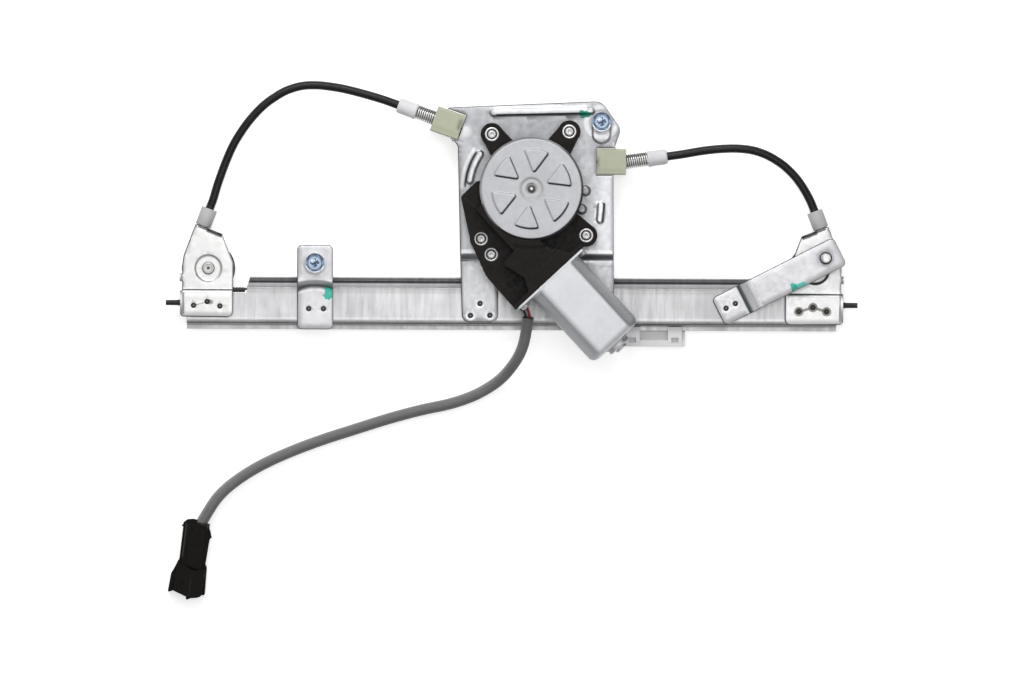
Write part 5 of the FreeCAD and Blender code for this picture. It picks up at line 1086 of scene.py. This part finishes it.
def make_rivets():
    for side, frame in PULLEY_FRAMES.items():
        turned(side + "_axle_rivet", "rivet", [
            (0, 0), (3, 0), (3, 2.9), (6.5, 2.9), (6.5, 4.2), (3, 4.2), (3, 13.3), (4.2, 13.3), (4.3, 13.9),
            (4, 14.5), (3.3, 14.8), (2.6, 14.75), (2, 14.5), (1.6, 14.55), (0.9, 14.6), (0.6, 14.2),
            (0, 14.1)], frame, 40, side + "_pulley_axle")


# Block, its angle, the sheath's tilt to it, the spring's length and the level
SHEATH_STARTS = {"left": (LEFT_BLOCK, LEFT_BLOCK_ANGLE, 0, 12.8, 14.2),
                 "right": (RIGHT_BLOCK, 0, 8, 15, 11.8)}


def socket_frame(side):
    """A frame whose Z runs along the sheath from its block's outer face, and the spring's length."""
    centre, angle, tilt, length, level = SHEATH_STARTS[side]
    face = Vector(centre) + Vector(polar(9.75, angle)) + Vector(DRUM)
    return frame_at(face.x, face.y, level, angle + tilt) @ ALONG_X, length


def make_springs():
    for side in SIDES:
        frame, length = socket_frame(side)
        first, last, radius, pitch = -2.3, length + 0.1, 4.25, 1.45
        turns = (last - first) / pitch
        steps = int(turns * 24)
        points = []
        for k in range(steps + 1):
            angle = 2 * math.pi * turns * k / steps
            points.append(frame @ Vector((radius * math.cos(angle), radius * math.sin(angle),
                                          first + (last - first) * k / steps)))
        wire(side + "_coil", points, 0.7, "coil", side + "_tension_spring", "POLY", 3)


def make_ferrules():
    for side in SIDES:
        frame, length = socket_frame(side)
        turned(side + "_sheath_cap", "white", [
            (3, length), (5, length), (5.5, length + 0.4), (5.5, length + 1.6), (5.2, length + 2),
            (5.2, length + 11.4), (5, length + 12.6), (4.2, length + 13.4), (3, length + 13.4)],
            frame, 48, side + "_socket_ferrule")
        start = PULLEY_FRAMES[side] @ Matrix.Translation((*by_cable(25.5, 0), 8))
        frame = start @ Matrix.Rotation(math.radians(CABLE_ANGLE), 4, "Z") @ ALONG_X
        turned(side + "_sheath_stub", "sheath", [(0, 11), (2.95, 11), (2.95, 14.6), (0, 14.6)], frame, 32)
        turned(side + "_fold_cap", "ferrule", [
            (1, -1.6), (4.1, -1.6), (4.3, -1.4), (4.3, 0), (5.2, 0), (5.35, 0.2), (5.45, 12), (5.2, 12.4),
            (3, 12.4)], frame, 48, side + "_bracket_ferrule")


def flatted(radius, half, count=72):
    """A circle in Y and Z with its top and bottom cut flat at half."""
    points = []
    for k in range(count):
        angle = 2 * math.pi * k / count
        y, z = radius * math.cos(angle), radius * math.sin(angle)
        points.append((y, min(max(z, -half), half)))
    return points


def make_motor_can():
    flange, length, radius, half = -52.8, 62.5, 21, 16.5
    end = flange - length
    can = Shape()
    rows = []
    for k in range(8):
        angle = math.radians(90 * k / 7)
        pull = 5 * (1 - math.sin(angle))
        rows.append([(end + 5 * (1 - math.cos(angle)), y, z)
                     for y, z in flatted(radius - pull, half - pull * 0.9)])
    for level, reach in ((flange - 3, radius), (flange - 1.6, radius + 1.2)):
        rows.append([(level, y, z) for y, z in flatted(reach, half)])
    can.loft(rows, MOTOR_FRAME)
    boss = MOTOR_FRAME @ Matrix.Translation((end, 0, 0)) @ AGAINST_X
    can.lathe([(9.4, -0.2), (9.2, 0.6), (8.2, 1), (8.2, 3.2), (7.6, 4), (4.3, 4.2), (4.2, 5.4),
               (3.5, 6), (1.6, 6), (1.4, 5.7), (0, 5.7)], boss)
    plate = rounded([(-28, -13, 4), (35, -13, 4), (35, 13, 4), (-28, 13, 4)])
    can.loft([[(x, y, z) for y, z in plate] for x in (flange - 1.6, flange)], MOTOR_FRAME)
    can.finish("drawn_motor_can", "can", "motor_can", edge=0.5, angle=30)
    screws = Shape()
    for side in (28.5, -24.6):
        frame = MOTOR_FRAME @ Matrix.Translation((flange - 1.6, side, 0)) @ AGAINST_X
        screws.lathe([(3, 0), (3.2, 0.3), (3.2, 1.6), (2.6, 2.4), (1.4, 2.6), (1.2, 1.4), (0, 1.4)], frame)
        screws.lathe([(0, -2.6), (2, -2.6), (2, 0)], frame, 20)
    screws.finish("flange_screws", "bright", "motor_screws")


# The loom, a wire from the motor to its plug, as the photograph shows it
LOOM = [(11.2, -8, 25.5), (9.9, -19.7, 23.5), (6.6, -31.9, 19.5), (0.2, -42, 13), (-7.1, -50.3, 7.6),
        (-16.6, -56.9, 4.6), (-27, -62.4, 3.8), (-42.6, -67.6, 3.8), (-58.2, -70.6, 3.8),
        (-73.8, -74.6, 3.8), (-89.4, -79.2, 3.8), (-105.3, -84.4, 3.8), (-128.8, -91.9, 3.8),
        (-152.1, -100.8, 3.8), (-171.5, -109.9, 4.2), (-186.8, -119.6, 5.2), (-197.6, -128.8, 6.2),
        (-204.4, -138, 6.8), (-211.1, -149.9, 6.8)]


# The plug's forms: bottom, top and outline, seen along its axis from the loom
PLUG_FORMS = (
    (2.4, 9.4, ((2, 4, 2), (1.2, 8.2, 2), (-0.9, 10.4, 1.5), (-2.6, 10.9), (-3.2, 11.8),
     (-4.2, 10.4), (-28, 10.2), (-28, -7.8), (-10.6, -8.4), (-9.2, -9.7), (-7.7, -9.1),
     (-5.6, -8.5, 2), (-2.2, -6.8, 1.5), (0.4, -5.2, 1))),
    (0.8, 12.4, ((-1.4, -5, 1), (-1.2, 3.2, 1), (0.8, 6.6, 2), (-3, 8.6, 1), (-30, 8.6),
     (-33, -7.2), (-10, -7.4, 1), (-4, -6.4, 2))),
    (12, 13.5, ((-4.4, -5.6, 1), (-4.4, 2.4, 1), (-9, 5.4, 1), (-29.4, 5.6), (-32.6, -5.8))),
    (1.2, 10.4, ((-26.4, 10.6, 1), (-31.5, 12.3), (-36.6, 14.5), (-49, 15.1), (-49.3, 14.1),
     (-48.1, 11.8), (-51.2, 2.4), (-52.9, 2.3), (-53.1, 1.4), (-51.8, -1.1), (-51.2, -4.7),
     (-50.2, -7), (-48.9, -8), (-48.7, -9.6), (-47.4, -10), (-29.7, -9), (-28, -8))),
    (0.4, 15.6, ((-28.8, 11.2, 1.5), (-47.6, 11.6, 1.5), (-51, 2.4), (-51.4, -1), (-50.8, -4.7, 2),
     (-48.6, -8, 2), (-30.2, -8.4, 1), (-31.6, -6.6, 1), (-32.8, -0.4, 4), (-29.4, 7.4, 2))),
    (15.4, 15.95, ((-38, -0.7), (-38, 0.1), (-51, 0.5), (-51, -0.5))),
)


def make_plug():
    """The plug's shell: a collar with two spurs, a ribbed body, a latch, a wing and a flared shroud."""
    shell = Shape()
    for low, top, outline in PLUG_FORMS:
        shell.prism(rounded(outline), low, top, frame_at(-212, -148.6, 0, 82.8))
    return shell.finish("plug_shell", "plug", "connector_housing", "connector_lock", edge=0.5, segments=3)


def make_edge_buffer():
    """The ribbed buffer on the left bracket's edge, just above the carrier's path."""
    profile = [(0, -0.3), (1.7, -0.3)]
    for k in range(4):
        profile += [(1.7, 2 * k + 1.4), (1.4, 2 * k + 1.6), (1.4, 2 * k + 1.9), (1.7, 2 * k + 2)]
    turned("edge_buffer", "guide", profile + [(0, 8)], frame_at(-189.4, 9.9, 14.1) @ ALONG_X, 24)


def make_leads():
    """Both leads, from the brush card's corner into the sleeve."""
    for name, points in (
            ("red", ((5.6, 3.4, 27.2), (8.6, 1.2, 27.2), (11.3, -3, 26.4), (12.5, -8.6, 25.5))),
            ("black", ((4.4, 2, 27.2), (6.6, -0.4, 27.2), (8.8, -4.4, 26.4), (9.9, -8.4, 25.5)))):
        wire(name + "_wire", points, 0.95, name, "lead_" + name)


def make_loom():
    loom = wire("loom", LOOM, 3.8, "sleeve", "harness_sleeve", sides=8)
    plug = [make_plug(), nodes["connector_seal"], nodes["connector_terminals"]]


for make in (make_studio, make_base_plate, make_brackets, make_straps, make_gear_cover, make_ears,
             make_rivets, make_springs, make_ferrules, make_motor_can, make_edge_buffer, make_leads,
             make_loom):
    make()
